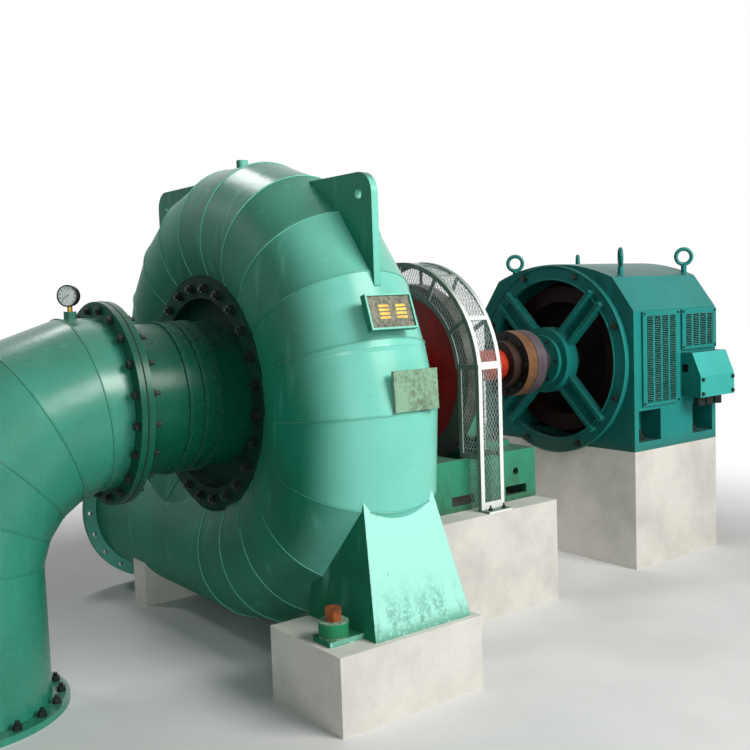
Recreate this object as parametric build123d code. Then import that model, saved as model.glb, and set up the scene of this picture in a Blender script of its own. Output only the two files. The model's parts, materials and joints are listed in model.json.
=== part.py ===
from build123d import *
import math
import os

# Horizontal Francis turbine and generator set, in millimetres.
# Stations run along the shaft from the draft flange joint (0) towards the generator.
# Heights and radii are measured from the shaft axis until the set is placed on its floor.

# Depths below the shaft axis of the soles, and clearances
FLOOR_CLEARANCE = 76.0
SADDLE_DROP = 880.0
BASE_DROP = 660.0
GENERATOR_DROP = 510.0
RUN_GAP = 0.3
SEAT_GAP = 0.3

# Spans along the shaft, each measured from the piece before it
CASING_STATION = 765.0
BASE_CLEARANCE = 128.0
BASE_FRONT_OVERHANG = 150.0
FLYWHEEL_FRONT_SPAN = 300.0
FLYWHEEL_REAR_SPAN = 255.0
BASE_REAR_OVERHANG = 145.0
COUPLING_SPAN = 370.0
GENERATOR_SPAN = 335.0

# Draft tube: elbow, flange pair and cone
CONE_R = 334.0
ELBOW_R = 372.0
DRAFT_WALL = 12.0
DRAFT_FLANGE_R = 440.0
DRAFT_FLANGE_T = 28.0
ELBOW_BEND_R = 670.0
ELBOW_SEAMS = 5
OUTLET_BOLT_R = 406.0
FLANGE_BOLTS = 20
FLANGE_HOLE_R = 12.0
CONE_BANDS = 3
CONE_BAND_START = 232.0
CONE_BAND_PITCH = 70.0
CONE_BAND_WIDTH = 14.0
CONE_BAND_RISE = 10.0

# Covers and stay ring
COVER_FACE = 473.0
COVER_FLANGE_T = 37.0
COVER_FLANGE_R = 530.0
COVER_RECESS_R = 440.0
COVER_RECESS_DEPTH = 70.0
COVER_WALL = 15.0
STAY_RING_LIP = 15.0
STAY_RING_SETBACK = 5.0
REAR_COVER_T = 30.0
SEAL_HOUSING_R = 165.0
SEAL_HOUSING_LENGTH = 70.0
SHAFT_END_INSET = 120.0

# Spiral casing, rolled in cans that grow from the tail to the inlet
SCROLL_INNER_R = 385.0
SCROLL_TAIL_R = 310.0
SCROLL_INLET_R = 362.0
SCROLL_CANS = 20
CAN_DEG = 17.0
CASING_WALL = 14.0
INLET_FACE = 1280.0
INLET_FLANGE_R = 428.0
INLET_FLANGE_T = 32.0
INLET_BOLT_R = 396.0

# Lugs, plates and fittings on the casing
LUG_REACH_Y = 965.0
LUG_NEAR_Z = 922.0
LUG_FAR_Z = 1018.0
LUG_SIZE = 500.0
LUG_THICKNESS = 32.0
LUG_CORNER_FILLET = 90.0
LUG_HOLE_R = 22.0
LUG_HOLE_INSET = 88.0
VENT_R = 28.0
VENT_Y = 60.0
VENT_HEIGHT = 32.0
PLATE_FACE_R = 1130.0
NAMEPLATE_DEG = 71.2
NAMEPLATE_STATION = 750.0
NAMEPLATE_LENGTH = 228.0
NAMEPLATE_WIDTH = 146.0
NAMEPLATE_DEPTH = 30.0
NAMEPLATE_RIM = 8.0
NAMEPLATE_T = 6.0
DATA_PLATE_DEG = 87.4
DATA_PLATE_STATION = 815.0
DATA_PLATE_LENGTH = 222.0
DATA_PLATE_WIDTH = 162.0
DATA_PLATE_T = 14.0
DATA_PLATE_LIP = 26.0
STANDOFF_LENGTH = 120.0
STANDOFF_WIDTH = 60.0

# Saddle foot and inlet cradle
SADDLE_HALF_BOTTOM = 243.0
SADDLE_HALF_TOP = 174.0
SADDLE_BOTTOM_Y = -1196.0
SADDLE_TOP_Y = -1052.0
SADDLE_TOP_DROP = 364.0
SADDLE_INNER_Y = -740.0
SADDLE_PLATE = 22.0
SADDLE_ARC_R = 215.0
SADDLE_ARC_SAG = 78.0
SADDLE_PAD_MARGIN = 30.0
ANCHOR_R = 58.0
ANCHOR_HEIGHT = 60.0
ANCHOR_OFFSET = 341.0
ANCHOR_Y = -1061.0
ANCHOR_NUT_R = 34.0
ANCHOR_NUT_HEIGHT = 50.0
CRADLE_Y = 830.0
CRADLE_HALF = 300.0
CRADLE_DEPTH = 150.0
CRADLE_TOP_BELOW_AXIS = 120.0

# Shaft, flywheel and coupling
SHAFT_R = 88.0
FLYWHEEL_R = 478.0
FLYWHEEL_WIDTH = 80.0
FLYWHEEL_RIM = 78.0
FLYWHEEL_WEB = 44.0
FLYWHEEL_HUB_R = 150.0
FLYWHEEL_HUB_WIDTH = 130.0
COUPLING_R = 190.0
COUPLING_RIM_T = 76.0
COUPLING_GAP = 4.0
COUPLING_HUB_R = 135.0
COUPLING_HUB_LENGTH = 60.0
COUPLING_PINS = 8
COUPLING_PIN_R = 13.0
COUPLING_PIN_CIRCLE_R = 160.0
COUPLING_PIN_HEAD = 8.0

# Bearing pedestals and their base frame
PEDESTAL_WIDTH = 170.0
PEDESTAL_NECK_HALF = 175.0
PEDESTAL_FLARE_R = 155.0
PEDESTAL_FLANGE_T = 30.0
PEDESTAL_FLANGE_MARGIN = 22.0
HOUSING_R = 165.0
HOUSING_LENGTH = 210.0
BASE_HALF_WIDTH = 500.0
BASE_TOP_DROP = 400.0
BASE_WALL = 22.0
BASE_TOP_PLATE = 28.0
BASE_PIT_HALF = 130.0
BASE_SLOT_LENGTH = 152.0
BASE_SLOT_HEIGHT = 48.0
BASE_SLOT_RISE = 30.0
BASE_SLOT_OFFSET = 185.0
BASE_EYE_R = 20.0
BASE_EYE_RISE = 150.0

# Flywheel guard, standing astride the base frame
GUARD_HALF_WIDTH = 78.0
GUARD_LEG_GAP = 92.0
GUARD_BAND = 162.0
GUARD_BAR = 24.0
GUARD_SHEET = 5.0
GUARD_DIVIDERS = 5
GUARD_CROSSBAR_Z = 45.0
GUARD_CROSSBAR = 36.0
GUARD_LEG_WIDTH = 150.0
GUARD_FOOT_T = 10.0
GUARD_FOOT_REACH = 55.0

# Generator
GEN_LENGTH = 775.0
GEN_HALF_WIDTH = 600.0
GEN_EAVES = 288.0
GEN_SHOULDER_Y = 454.0
GEN_SHOULDER_Z = 481.0
GEN_ROOF_Z = 571.0
GEN_WALL = 14.0
GEN_END_PLATE = 22.0
GEN_BORE_R = 500.0
POCKET_START = 36.0
POCKET_LENGTH = 200.0
POCKET_RISE = 50.0
POCKET_HEIGHT = 180.0
SHIELD_R = 566.0
SHIELD_OPENING_R = 476.0
SHIELD_T = 26.0
SHIELD_HUB_R = 195.0
SHIELD_HUB_T = 96.0
SHIELD_RIB_T = 24.0
SHIELD_RIB_PITCH = 96.0
SHIELD_RIB_DEPTH = 62.0
SHIELD_WEB_T = 16.0
BEARING_CAP_R = 150.0
BEARING_CAP_T = 22.0
CORE_START = 150.0
BULKHEAD_INSET = 60.0
BULKHEAD_T = 20.0
CORE_R = 470.0
CORE_BORE_R = 330.0
COIL_R = 440.0
COIL_BORE_R = 345.0
COIL_REACH = 80.0
ROTOR_AIR_GAP = 8.0
PANEL_T = 14.0
PANEL_LENGTH = 335.0
PANEL_TOP = 280.0
TALL_PANEL_START = 65.0
TALL_PANEL_HEIGHT = 535.0
SHORT_PANEL_START = 430.0
SHORT_PANEL_HEIGHT = 235.0
BOX_GAP = 17.0
BOX_HEIGHT = 258.0
BOX_KNEE = 135.0
BOX_DEPTH_TOP = 78.0
BOX_DEPTH_BOTTOM = 134.0
GLANDS = 3
GLAND_R = 30.0
GLAND_LENGTH = 55.0
EYE_START = 118.0
EYE_PITCH = 602.0
EYE_Y = 421.0
EYE_RING_R = 46.0
EYE_BAR_R = 12.0
EYE_TURN = 45.0
EYE_BAR_SIDES = 8
EYE_SHANK_R = 17.0

# Gauge on the elbow
GAUGE_STATION = -134.0
GAUGE_BOSS_R = 28.0
GAUGE_BOSS_HEIGHT = 30.0
GAUGE_STEM_R = 11.0
GAUGE_STEM_HEIGHT = 22.0
GAUGE_R = 44.0
GAUGE_DEPTH = 40.0

# Places worked out from the sizes above
INLET_Z = -(SCROLL_INNER_R + SCROLL_INLET_R)
FLOOR_Z = INLET_Z - SCROLL_INLET_R - FLOOR_CLEARANCE
STAY_RING_FRONT = COVER_FACE + STAY_RING_SETBACK
STAY_RING_REAR = 2 * CASING_STATION - STAY_RING_FRONT
STAY_RING_R = COVER_FLANGE_R + STAY_RING_LIP
SEAL_END = STAY_RING_REAR + REAR_COVER_T + SEAL_HOUSING_LENGTH
BASE_START = SEAL_END + BASE_CLEARANCE
PEDESTAL_FRONT = BASE_START + BASE_FRONT_OVERHANG
FLYWHEEL_STATION = PEDESTAL_FRONT + FLYWHEEL_FRONT_SPAN
PEDESTAL_REAR = FLYWHEEL_STATION + FLYWHEEL_REAR_SPAN
BASE_END = PEDESTAL_REAR + BASE_REAR_OVERHANG
COUPLING_JOINT = BASE_END + COUPLING_SPAN
GEN_FRONT = COUPLING_JOINT + GENERATOR_SPAN
GEN_REAR = GEN_FRONT + GEN_LENGTH
GUARD_R = BASE_HALF_WIDTH + GUARD_LEG_GAP
GUARD_INNER_R = GUARD_R - GUARD_BAND
ELBOW_LEG_X = -(DRAFT_FLANGE_T + ELBOW_BEND_R)
REAR_CAP_FACE = GEN_REAR + SHIELD_HUB_T
LOW_X = ELBOW_LEG_X - DRAFT_FLANGE_R
HIGH_X = REAR_CAP_FACE + BEARING_CAP_T
LOW_Y = SADDLE_BOTTOM_Y - SADDLE_PAD_MARGIN
HIGH_Y = INLET_FACE
SITE = Location((-(LOW_X + HIGH_X) / 2, -(LOW_Y + HIGH_Y) / 2, -FLOOR_Z))
NODES = {}


def keep(name, shape):
    """Place a finished piece on its site and list it under its node name."""
    NODES[name] = shape.moved(SITE)


def along_shaft(x0, x1, radius):
    """Solid cylinder about the shaft axis between two stations."""
    return Pos((x0 + x1) / 2, 0, 0) * Rot(0, 90, 0) * Cylinder(radius, x1 - x0)


def ring(x0, x1, outer, inner):
    """Flat ring about the shaft axis between two stations."""
    return along_shaft(x0, x1, outer) - along_shaft(x0, x1, inner)


def turned(*profile):
    """Revolve a closed profile of (station, radius) points about the shaft axis."""
    return revolve(make_face(Polyline(*profile, close=True)), axis=Axis.X)


def block(x0, x1, y0, y1, z0, z1):
    """Rectangular block between two corners."""
    return Pos((x0 + x1) / 2, (y0 + y1) / 2, (z0 + z1) / 2) * Box(x1 - x0, y1 - y0, z1 - z0)


def plate_across(x0, thickness, *outline):
    """Plate square to the shaft, from an outline of (y, z) points."""
    profile = make_face(Polyline(*outline, close=True))
    return extrude(Plane((x0, 0, 0), x_dir=(0, 1, 0), z_dir=(1, 0, 0)) * profile, thickness)


def mitred_tube(points, radii):
    """Tube of straight rolled cans, square at both ends and mitred where two cans meet."""
    runs = [(after - before).normalized() for before, after in zip(points, points[1:])]
    normals = [runs[0], *[arriving + leaving for arriving, leaving in zip(runs, runs[1:])], runs[-1]]
    cuts = [Plane(point, z_dir=normal) for point, normal in zip(points, normals)]
    cans = []
    for start, end, run, radius in zip(cuts, cuts[1:], runs, radii):
        length = (end.origin - start.origin).length
        can = Plane((start.origin + end.origin) * 0.5, z_dir=run) * Cylinder(radius, length + 2 * radius)
        cans.append(split(split(can, start, keep=Keep.TOP), end, keep=Keep.BOTTOM))
    return cans[0].fuse(*cans[1:])


def elbow_tube(radius):
    """Quarter bend of mitred cans between the draft flange and the outlet flange."""
    half_turn = math.pi / 4 / ELBOW_SEAMS
    corner_r = ELBOW_BEND_R / math.cos(half_turn)
    points = [Vector(-DRAFT_FLANGE_T, 0, 0)]
    for seam in range(ELBOW_SEAMS):
        turn = (2 * seam + 1) * half_turn
        points.append(Vector(
            -DRAFT_FLANGE_T - corner_r * math.sin(turn), 0, corner_r * math.cos(turn) - ELBOW_BEND_R
        ))
    points.append(Vector(ELBOW_LEG_X, 0, FLOOR_Z + DRAFT_FLANGE_T))
    return mitred_tube(points, [radius] * (ELBOW_SEAMS + 1))


def scroll_radius(cans_from_inlet):
    """Radius of the scroll, counted in cans from the inlet pipe towards the tail."""
    return SCROLL_INLET_R + (SCROLL_TAIL_R - SCROLL_INLET_R) * cans_from_inlet / SCROLL_CANS


def scroll_tube(wall):
    """Inlet pipe and scroll, inset by a wall thickness."""
    points = [Vector(CASING_STATION, INLET_FACE - INLET_FLANGE_T, INLET_Z)]
    for seam in range(SCROLL_CANS + 1):
        turn = math.radians(CAN_DEG * seam)
        centre_r = SCROLL_INNER_R + scroll_radius(seam)
        points.append(Vector(CASING_STATION, -centre_r * math.sin(turn), -centre_r * math.cos(turn)))
    radii = [SCROLL_INLET_R, *[scroll_radius(can + 0.5) for can in range(SCROLL_CANS)]]
    return mitred_tube(points, [radius - wall for radius in radii])


def bolt_circle(radius, count, bolt_r, depth):
    """Drill bits for a circle of bolt holes about the Z axis."""
    return [loc * Cylinder(bolt_r, depth) for loc in PolarLocations(radius, count)]


# Draft elbow and its flanges
elbow_form = elbow_tube(ELBOW_R)
elbow_bore = ELBOW_R - DRAFT_WALL
cone_bore = CONE_R - DRAFT_WALL
keep("draft_elbow", elbow_form - elbow_tube(elbow_bore))
keep("elbow_flange", ring(-DRAFT_FLANGE_T, 0, DRAFT_FLANGE_R, elbow_bore))
keep("draft_cone_flange", ring(0, DRAFT_FLANGE_T, DRAFT_FLANGE_R, cone_bore))
outlet = Cylinder(DRAFT_FLANGE_R, DRAFT_FLANGE_T) - Cylinder(elbow_bore, DRAFT_FLANGE_T)
outlet -= bolt_circle(OUTLET_BOLT_R, FLANGE_BOLTS, FLANGE_HOLE_R, 2 * DRAFT_FLANGE_T)
keep("elbow_outlet_flange", Pos(ELBOW_LEG_X, 0, FLOOR_Z + DRAFT_FLANGE_T / 2) * outlet)

# Draft cone: a rolled pipe with raised weld bands, ending on the recessed front cover
cover_floor = COVER_FACE + COVER_RECESS_DEPTH
cone = ring(DRAFT_FLANGE_T, cover_floor, CONE_R, cone_bore)
for band in range(CONE_BANDS):
    station = CONE_BAND_START + CONE_BAND_PITCH * band
    cone += ring(station, station + CONE_BAND_WIDTH, CONE_R + CONE_BAND_RISE, cone_bore)
keep("draft_cone", cone)

# Front cover: bolting flange, recess wall and recess floor in one turned piece
cover_back = COVER_FACE + COVER_FLANGE_T
keep("front_cover", turned(
    (COVER_FACE, COVER_RECESS_R),
    (COVER_FACE, COVER_FLANGE_R),
    (cover_back, COVER_FLANGE_R),
    (cover_back, COVER_RECESS_R + COVER_WALL),
    (cover_floor + COVER_WALL, COVER_RECESS_R + COVER_WALL),
    (cover_floor + COVER_WALL, cone_bore),
    (cover_floor, cone_bore),
    (cover_floor, COVER_RECESS_R),
))

# Stay ring: drum between the covers, with a lip around the front cover
keep("stay_ring", turned(
    (STAY_RING_FRONT, COVER_FLANGE_R + SEAT_GAP),
    (STAY_RING_FRONT, STAY_RING_R),
    (STAY_RING_REAR, STAY_RING_R),
    (STAY_RING_REAR, COVER_RECESS_R + COVER_WALL + SEAT_GAP),
    (cover_back, COVER_RECESS_R + COVER_WALL + SEAT_GAP),
    (cover_back, COVER_FLANGE_R + SEAT_GAP),
))
rear_cover = along_shaft(STAY_RING_REAR, STAY_RING_REAR + REAR_COVER_T, COVER_FLANGE_R)
rear_cover += along_shaft(STAY_RING_REAR + REAR_COVER_T, SEAL_END, SEAL_HOUSING_R)
keep("rear_cover", rear_cover - along_shaft(STAY_RING_REAR, SEAL_END, SHAFT_R + RUN_GAP))

# Spiral casing: rolled and mitred plate, open at the inlet and around the stay ring
casing_form = scroll_tube(0)
casing = casing_form - scroll_tube(CASING_WALL)
casing -= along_shaft(0, 2 * CASING_STATION, STAY_RING_R + SEAT_GAP)
keep("spiral_casing", casing)
inlet_ring = Cylinder(INLET_FLANGE_R, INLET_FLANGE_T)
inlet_ring -= Cylinder(SCROLL_INLET_R - CASING_WALL, INLET_FLANGE_T)
inlet_ring -= bolt_circle(INLET_BOLT_R, FLANGE_BOLTS, FLANGE_HOLE_R, 2 * INLET_FLANGE_T)
inlet_place = Pos(CASING_STATION, INLET_FACE - INLET_FLANGE_T / 2, INLET_Z) * Rot(90, 0, 0)
keep("inlet_flange", inlet_place * inlet_ring)

# Lifting lugs: round-cornered plates cut to the crest of the scroll
for name, side, top_z in (("lifting_lug_near", -1, LUG_NEAR_Z), ("lifting_lug_far", 1, LUG_FAR_Z)):
    lug = plate_across(
        CASING_STATION - LUG_THICKNESS / 2, LUG_THICKNESS,
        (side * LUG_REACH_Y, top_z),
        (side * (LUG_REACH_Y - LUG_SIZE), top_z),
        (side * (LUG_REACH_Y - LUG_SIZE), top_z - LUG_SIZE),
        (side * LUG_REACH_Y, top_z - LUG_SIZE),
    )
    corner = lug.edges().filter_by(Axis.X).sort_by(lambda e: e.center().Z + side * e.center().Y)[-1]
    lug = fillet(corner, LUG_CORNER_FILLET)
    bore = Rot(0, 90, 0) * Cylinder(LUG_HOLE_R, 2 * LUG_THICKNESS)
    lug -= Pos(CASING_STATION, side * (LUG_REACH_Y - LUG_HOLE_INSET), top_z - LUG_HOLE_INSET) * bore
    lug -= casing_form
    keep(name, lug.solids().sort_by(lambda s: s.volume)[-1])

# Saddle foot under the near side: a tapered box of plate, its face cut in an arc below the scroll


def saddle_box(inset, floor_z, back_y):
    """Tapered block of the saddle foot, drawn in by a plate thickness."""
    sections = []
    for z, half, front_y in (
        (-SADDLE_DROP, SADDLE_HALF_BOTTOM, SADDLE_BOTTOM_Y),
        (-SADDLE_TOP_DROP, SADDLE_HALF_TOP, SADDLE_TOP_Y),
    ):
        plan = Pos(CASING_STATION, (front_y + inset + back_y) / 2, z)
        sections.append(plan * Rectangle(2 * (half - inset), back_y - front_y - inset))
    tapered = loft(sections, ruled=True)
    return split(tapered, Plane.XY.offset(floor_z), keep=Keep.TOP)


sole_top = SADDLE_PLATE - SADDLE_DROP
anchor_station = CASING_STATION - ANCHOR_OFFSET
lean = math.atan2(SADDLE_TOP_Y - SADDLE_BOTTOM_Y, SADDLE_DROP - SADDLE_TOP_DROP)
face_normal = Vector(0, -math.cos(lean), math.sin(lean))
face_up = Vector(0, math.sin(lean), math.cos(lean))
arc_centre = Vector(CASING_STATION, SADDLE_TOP_Y, -SADDLE_TOP_DROP) + face_up * (SADDLE_ARC_R - SADDLE_ARC_SAG)
arc_cut = Plane(arc_centre, z_dir=face_normal) * Cylinder(SADDLE_ARC_R, 4 * SADDLE_PLATE)
saddle = saddle_box(0, -SADDLE_DROP, SADDLE_INNER_Y)
saddle -= saddle_box(SADDLE_PLATE, sole_top, SADDLE_INNER_Y + SADDLE_PLATE)
saddle += block(
    anchor_station - ANCHOR_R, CASING_STATION - SADDLE_HALF_BOTTOM + SADDLE_PLATE,
    ANCHOR_Y - ANCHOR_R, ANCHOR_Y + ANCHOR_R, -SADDLE_DROP, sole_top,
)
saddle -= arc_cut
saddle -= casing_form
keep("saddle_foot", saddle.solids().sort_by(lambda s: s.volume)[-1])
keep("saddle_plinth", block(
    anchor_station - ANCHOR_R - SADDLE_PAD_MARGIN, CASING_STATION + SADDLE_HALF_BOTTOM + SADDLE_PAD_MARGIN,
    LOW_Y, SADDLE_INNER_Y, FLOOR_Z, -SADDLE_DROP,
) - casing_form)
anchor_top = sole_top + ANCHOR_HEIGHT
keep("anchor_boss", Pos(anchor_station, ANCHOR_Y, sole_top + ANCHOR_HEIGHT / 2) * Cylinder(ANCHOR_R, ANCHOR_HEIGHT))
nut = extrude(RegularPolygon(ANCHOR_NUT_R, 6), ANCHOR_NUT_HEIGHT)
keep("anchor_nut", Pos(anchor_station, ANCHOR_Y, anchor_top) * nut)

# Cradle under the straight inlet pipe
cradle = block(
    CASING_STATION - CRADLE_HALF, CASING_STATION + CRADLE_HALF,
    CRADLE_Y - CRADLE_DEPTH / 2, CRADLE_Y + CRADLE_DEPTH / 2,
    FLOOR_Z, INLET_Z - CRADLE_TOP_BELOW_AXIS,
)
keep("inlet_cradle", cradle - casing_form)

# Vent plug on the crown of the scroll
crown_r = scroll_radius(180 / CAN_DEG)
crown_z = SCROLL_INNER_R + crown_r
vent_length = crown_r + VENT_HEIGHT
vent = Pos(CASING_STATION, VENT_Y, crown_z + vent_length / 2) * Cylinder(VENT_R, vent_length)
keep("vent_plug", vent - casing_form)


def plate_place(degrees, station):
    """Plane on the crest of the scroll at an angle from the top, facing away from the shaft."""
    turn = math.radians(degrees)
    outward = Vector(0, -math.sin(turn), math.cos(turn))
    return Plane(Vector(station, 0, 0) + outward * PLATE_FACE_R, x_dir=(1, 0, 0), z_dir=outward)


# Name plate in a shallow tray and a folded data plate, each on a stand-off welded to the scroll
name_place = plate_place(NAMEPLATE_DEG, NAMEPLATE_STATION)
data_place = plate_place(DATA_PLATE_DEG, DATA_PLATE_STATION)
tray = Pos(0, 0, -NAMEPLATE_DEPTH / 2) * Box(NAMEPLATE_LENGTH, NAMEPLATE_WIDTH, NAMEPLATE_DEPTH)
well_length = NAMEPLATE_LENGTH - 2 * NAMEPLATE_RIM
well_width = NAMEPLATE_WIDTH - 2 * NAMEPLATE_RIM
tray -= Pos(0, 0, -NAMEPLATE_T) * Box(well_length, well_width, 2 * NAMEPLATE_T)
keep("nameplate_tray", name_place * tray)
plate = Pos(0, 0, -NAMEPLATE_T * 1.5) * Box(well_length - 2 * SEAT_GAP, well_width - 2 * SEAT_GAP, NAMEPLATE_T)
keep("nameplate", name_place * plate)
folded = Pos(0, 0, -DATA_PLATE_T / 2) * Box(DATA_PLATE_LENGTH, DATA_PLATE_WIDTH, DATA_PLATE_T)
lip_y = (DATA_PLATE_T - DATA_PLATE_WIDTH) / 2
folded += Pos(0, lip_y, -DATA_PLATE_LIP / 2) * Box(DATA_PLATE_LENGTH, DATA_PLATE_T, DATA_PLATE_LIP)
keep("data_plate", data_place * folded)
standoffs = []
for place, back in ((name_place, NAMEPLATE_DEPTH), (data_place, DATA_PLATE_T)):
    post = Box(STANDOFF_LENGTH, STANDOFF_WIDTH, SCROLL_TAIL_R, align=(Align.CENTER, Align.CENTER, Align.MAX))
    standoffs.append(place * Pos(0, 0, -back) * post - casing_form)
keep("plate_standoffs", Compound(children=standoffs))

# Pressure gauge on a hexagonal boss at the crown of the elbow, its dial facing along the pipe
boss_top = ELBOW_R + GAUGE_BOSS_HEIGHT
gauge_z = boss_top + GAUGE_STEM_HEIGHT + GAUGE_R
gauge = Pos(GAUGE_STATION, 0, gauge_z) * Rot(0, 90, 0) * Cylinder(GAUGE_R, GAUGE_DEPTH)
gauge_boss = Pos(GAUGE_STATION, 0, 0) * extrude(RegularPolygon(GAUGE_BOSS_R, 6), boss_top)
gauge_boss += Pos(GAUGE_STATION, 0, (boss_top + gauge_z) / 2) * Cylinder(GAUGE_STEM_R, gauge_z - boss_top)
gauge_boss -= elbow_form
keep("gauge_boss", gauge_boss - gauge)
keep("pressure_gauge", gauge)

# Rotating line: turbine shaft, flywheel, coupling halves and generator rotor
fly_mid = FLYWHEEL_STATION
fly_face = fly_mid - FLYWHEEL_WIDTH / 2
fly_back = fly_mid + FLYWHEEL_WIDTH / 2
coupling_front = COUPLING_JOINT - COUPLING_GAP / 2
coupling_rear = COUPLING_JOINT + COUPLING_GAP / 2
keep("turbine_shaft", along_shaft(STAY_RING_REAR - SHAFT_END_INSET, coupling_front, SHAFT_R))
keep("generator_shaft", along_shaft(coupling_rear, REAR_CAP_FACE, SHAFT_R))
keep("flywheel", turned(
    (fly_mid - FLYWHEEL_HUB_WIDTH / 2, SHAFT_R),
    (fly_mid - FLYWHEEL_HUB_WIDTH / 2, FLYWHEEL_HUB_R),
    (fly_mid - FLYWHEEL_WEB / 2, FLYWHEEL_HUB_R),
    (fly_mid - FLYWHEEL_WEB / 2, FLYWHEEL_R - FLYWHEEL_RIM),
    (fly_face, FLYWHEEL_R - FLYWHEEL_RIM),
    (fly_face, FLYWHEEL_R),
    (fly_back, FLYWHEEL_R),
    (fly_back, FLYWHEEL_R - FLYWHEEL_RIM),
    (fly_mid + FLYWHEEL_WEB / 2, FLYWHEEL_R - FLYWHEEL_RIM),
    (fly_mid + FLYWHEEL_WEB / 2, FLYWHEEL_HUB_R),
    (fly_mid + FLYWHEEL_HUB_WIDTH / 2, FLYWHEEL_HUB_R),
    (fly_mid + FLYWHEEL_HUB_WIDTH / 2, SHAFT_R),
))
coupling_face = COUPLING_JOINT - COUPLING_RIM_T
coupling_back = COUPLING_JOINT + COUPLING_RIM_T
pin_x0 = coupling_face - COUPLING_PIN_HEAD
pin_x1 = coupling_back + COUPLING_PIN_HEAD


def pin_row(radius):
    """Coupling pins, or their holes, spaced round the shaft."""
    bar = Pos((pin_x0 + pin_x1) / 2, COUPLING_PIN_CIRCLE_R, 0) * Rot(0, 90, 0) * Cylinder(radius, pin_x1 - pin_x0)
    return [Rot(360 * index / COUPLING_PINS, 0, 0) * bar for index in range(COUPLING_PINS)]


front_half = turned(
    (coupling_face - COUPLING_HUB_LENGTH, SHAFT_R),
    (coupling_face - COUPLING_HUB_LENGTH, COUPLING_HUB_R),
    (coupling_face, COUPLING_HUB_R),
    (coupling_face, COUPLING_R),
    (coupling_front, COUPLING_R),
    (coupling_front, SHAFT_R),
)
keep("coupling_turbine_half", front_half - pin_row(COUPLING_PIN_R + SEAT_GAP))
rear_half = turned(
    (coupling_rear, SHAFT_R),
    (coupling_rear, COUPLING_R),
    (coupling_back, COUPLING_R),
    (coupling_back, COUPLING_HUB_R),
    (coupling_back + COUPLING_HUB_LENGTH, COUPLING_HUB_R),
    (coupling_back + COUPLING_HUB_LENGTH, SHAFT_R),
)
keep("coupling_generator_half", rear_half - pin_row(COUPLING_PIN_R + SEAT_GAP))
keep("coupling_pins", Compound(children=pin_row(COUPLING_PIN_R)))

# Bearing pedestals with split housings
base_top = -BASE_TOP_DROP
foot_top = base_top + PEDESTAL_FLANGE_T
foot_half = PEDESTAL_NECK_HALF + PEDESTAL_FLARE_R
for name, station in (("front", PEDESTAL_FRONT), ("rear", PEDESTAL_REAR)):
    neck_z = foot_top + PEDESTAL_FLARE_R
    bow = PEDESTAL_FLARE_R * (1 - math.sqrt(0.5))
    sole = Line((-foot_half, foot_top), (foot_half, foot_top))
    flare = ThreePointArc(
        (foot_half, foot_top), (PEDESTAL_NECK_HALF + bow, foot_top + bow), (PEDESTAL_NECK_HALF, neck_z)
    )
    neck = Polyline(
        (PEDESTAL_NECK_HALF, neck_z), (PEDESTAL_NECK_HALF, 0), (-PEDESTAL_NECK_HALF, 0), (-PEDESTAL_NECK_HALF, neck_z)
    )
    web = make_face([sole.edge(), flare.edge(), *neck.edges(), mirror(flare, about=Plane.YZ).edge()])
    across = Plane((station - PEDESTAL_WIDTH / 2, 0, 0), x_dir=(0, 1, 0), z_dir=(1, 0, 0))
    half = HOUSING_LENGTH / 2
    barrel = along_shaft(station - half, station + half, HOUSING_R)
    journal = along_shaft(station - half, station + half, SHAFT_R + RUN_GAP)
    below = block(station - half, station + half, -HOUSING_R, HOUSING_R, -HOUSING_R, 0)
    pedestal = extrude(across * web, PEDESTAL_WIDTH) + (barrel & below)
    pedestal += block(
        station - half, station + half,
        -foot_half - PEDESTAL_FLANGE_MARGIN, foot_half + PEDESTAL_FLANGE_MARGIN,
        base_top, foot_top,
    )
    keep(f"bearing_pedestal_{name}", pedestal - journal)
    above = block(station - half, station + half, -HOUSING_R, HOUSING_R, 0, HOUSING_R)
    cap = barrel & above
    cap += block(
        station - PEDESTAL_WIDTH / 2, station + PEDESTAL_WIDTH / 2,
        -PEDESTAL_NECK_HALF, PEDESTAL_NECK_HALF, 0, PEDESTAL_FLANGE_T,
    )
    keep(f"bearing_cap_{name}", cap - journal)

# Base frame: open box weldment with a pit for the flywheel and slots along its sides
base_sole = -BASE_DROP
base = block(BASE_START, BASE_END, -BASE_HALF_WIDTH, BASE_HALF_WIDTH, base_sole, base_top)
base -= block(
    BASE_START + BASE_WALL, BASE_END - BASE_WALL,
    -BASE_HALF_WIDTH + BASE_WALL, BASE_HALF_WIDTH - BASE_WALL,
    base_sole, base_top - BASE_TOP_PLATE,
)
base -= block(
    fly_mid - BASE_PIT_HALF, fly_mid + BASE_PIT_HALF,
    -BASE_HALF_WIDTH + BASE_WALL, BASE_HALF_WIDTH - BASE_WALL, base_sole, base_top,
)
for station, slot_station in ((PEDESTAL_FRONT, PEDESTAL_FRONT + BASE_SLOT_OFFSET), (PEDESTAL_REAR, PEDESTAL_REAR)):
    base -= block(
        slot_station - BASE_SLOT_LENGTH / 2, slot_station + BASE_SLOT_LENGTH / 2,
        -2 * BASE_HALF_WIDTH, 2 * BASE_HALF_WIDTH,
        base_sole + BASE_SLOT_RISE, base_sole + BASE_SLOT_RISE + BASE_SLOT_HEIGHT,
    )
    eye_bit = Rot(90, 0, 0) * Cylinder(BASE_EYE_R, 4 * BASE_HALF_WIDTH)
    base -= Pos(station, 0, base_sole + BASE_EYE_RISE) * eye_bit
keep("base_frame", base)
keep("base_plinth", block(
    BASE_START, BASE_END, -GUARD_R - GUARD_FOOT_REACH, GUARD_R + GUARD_FOOT_REACH, FLOOR_Z, base_sole,
))


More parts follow.
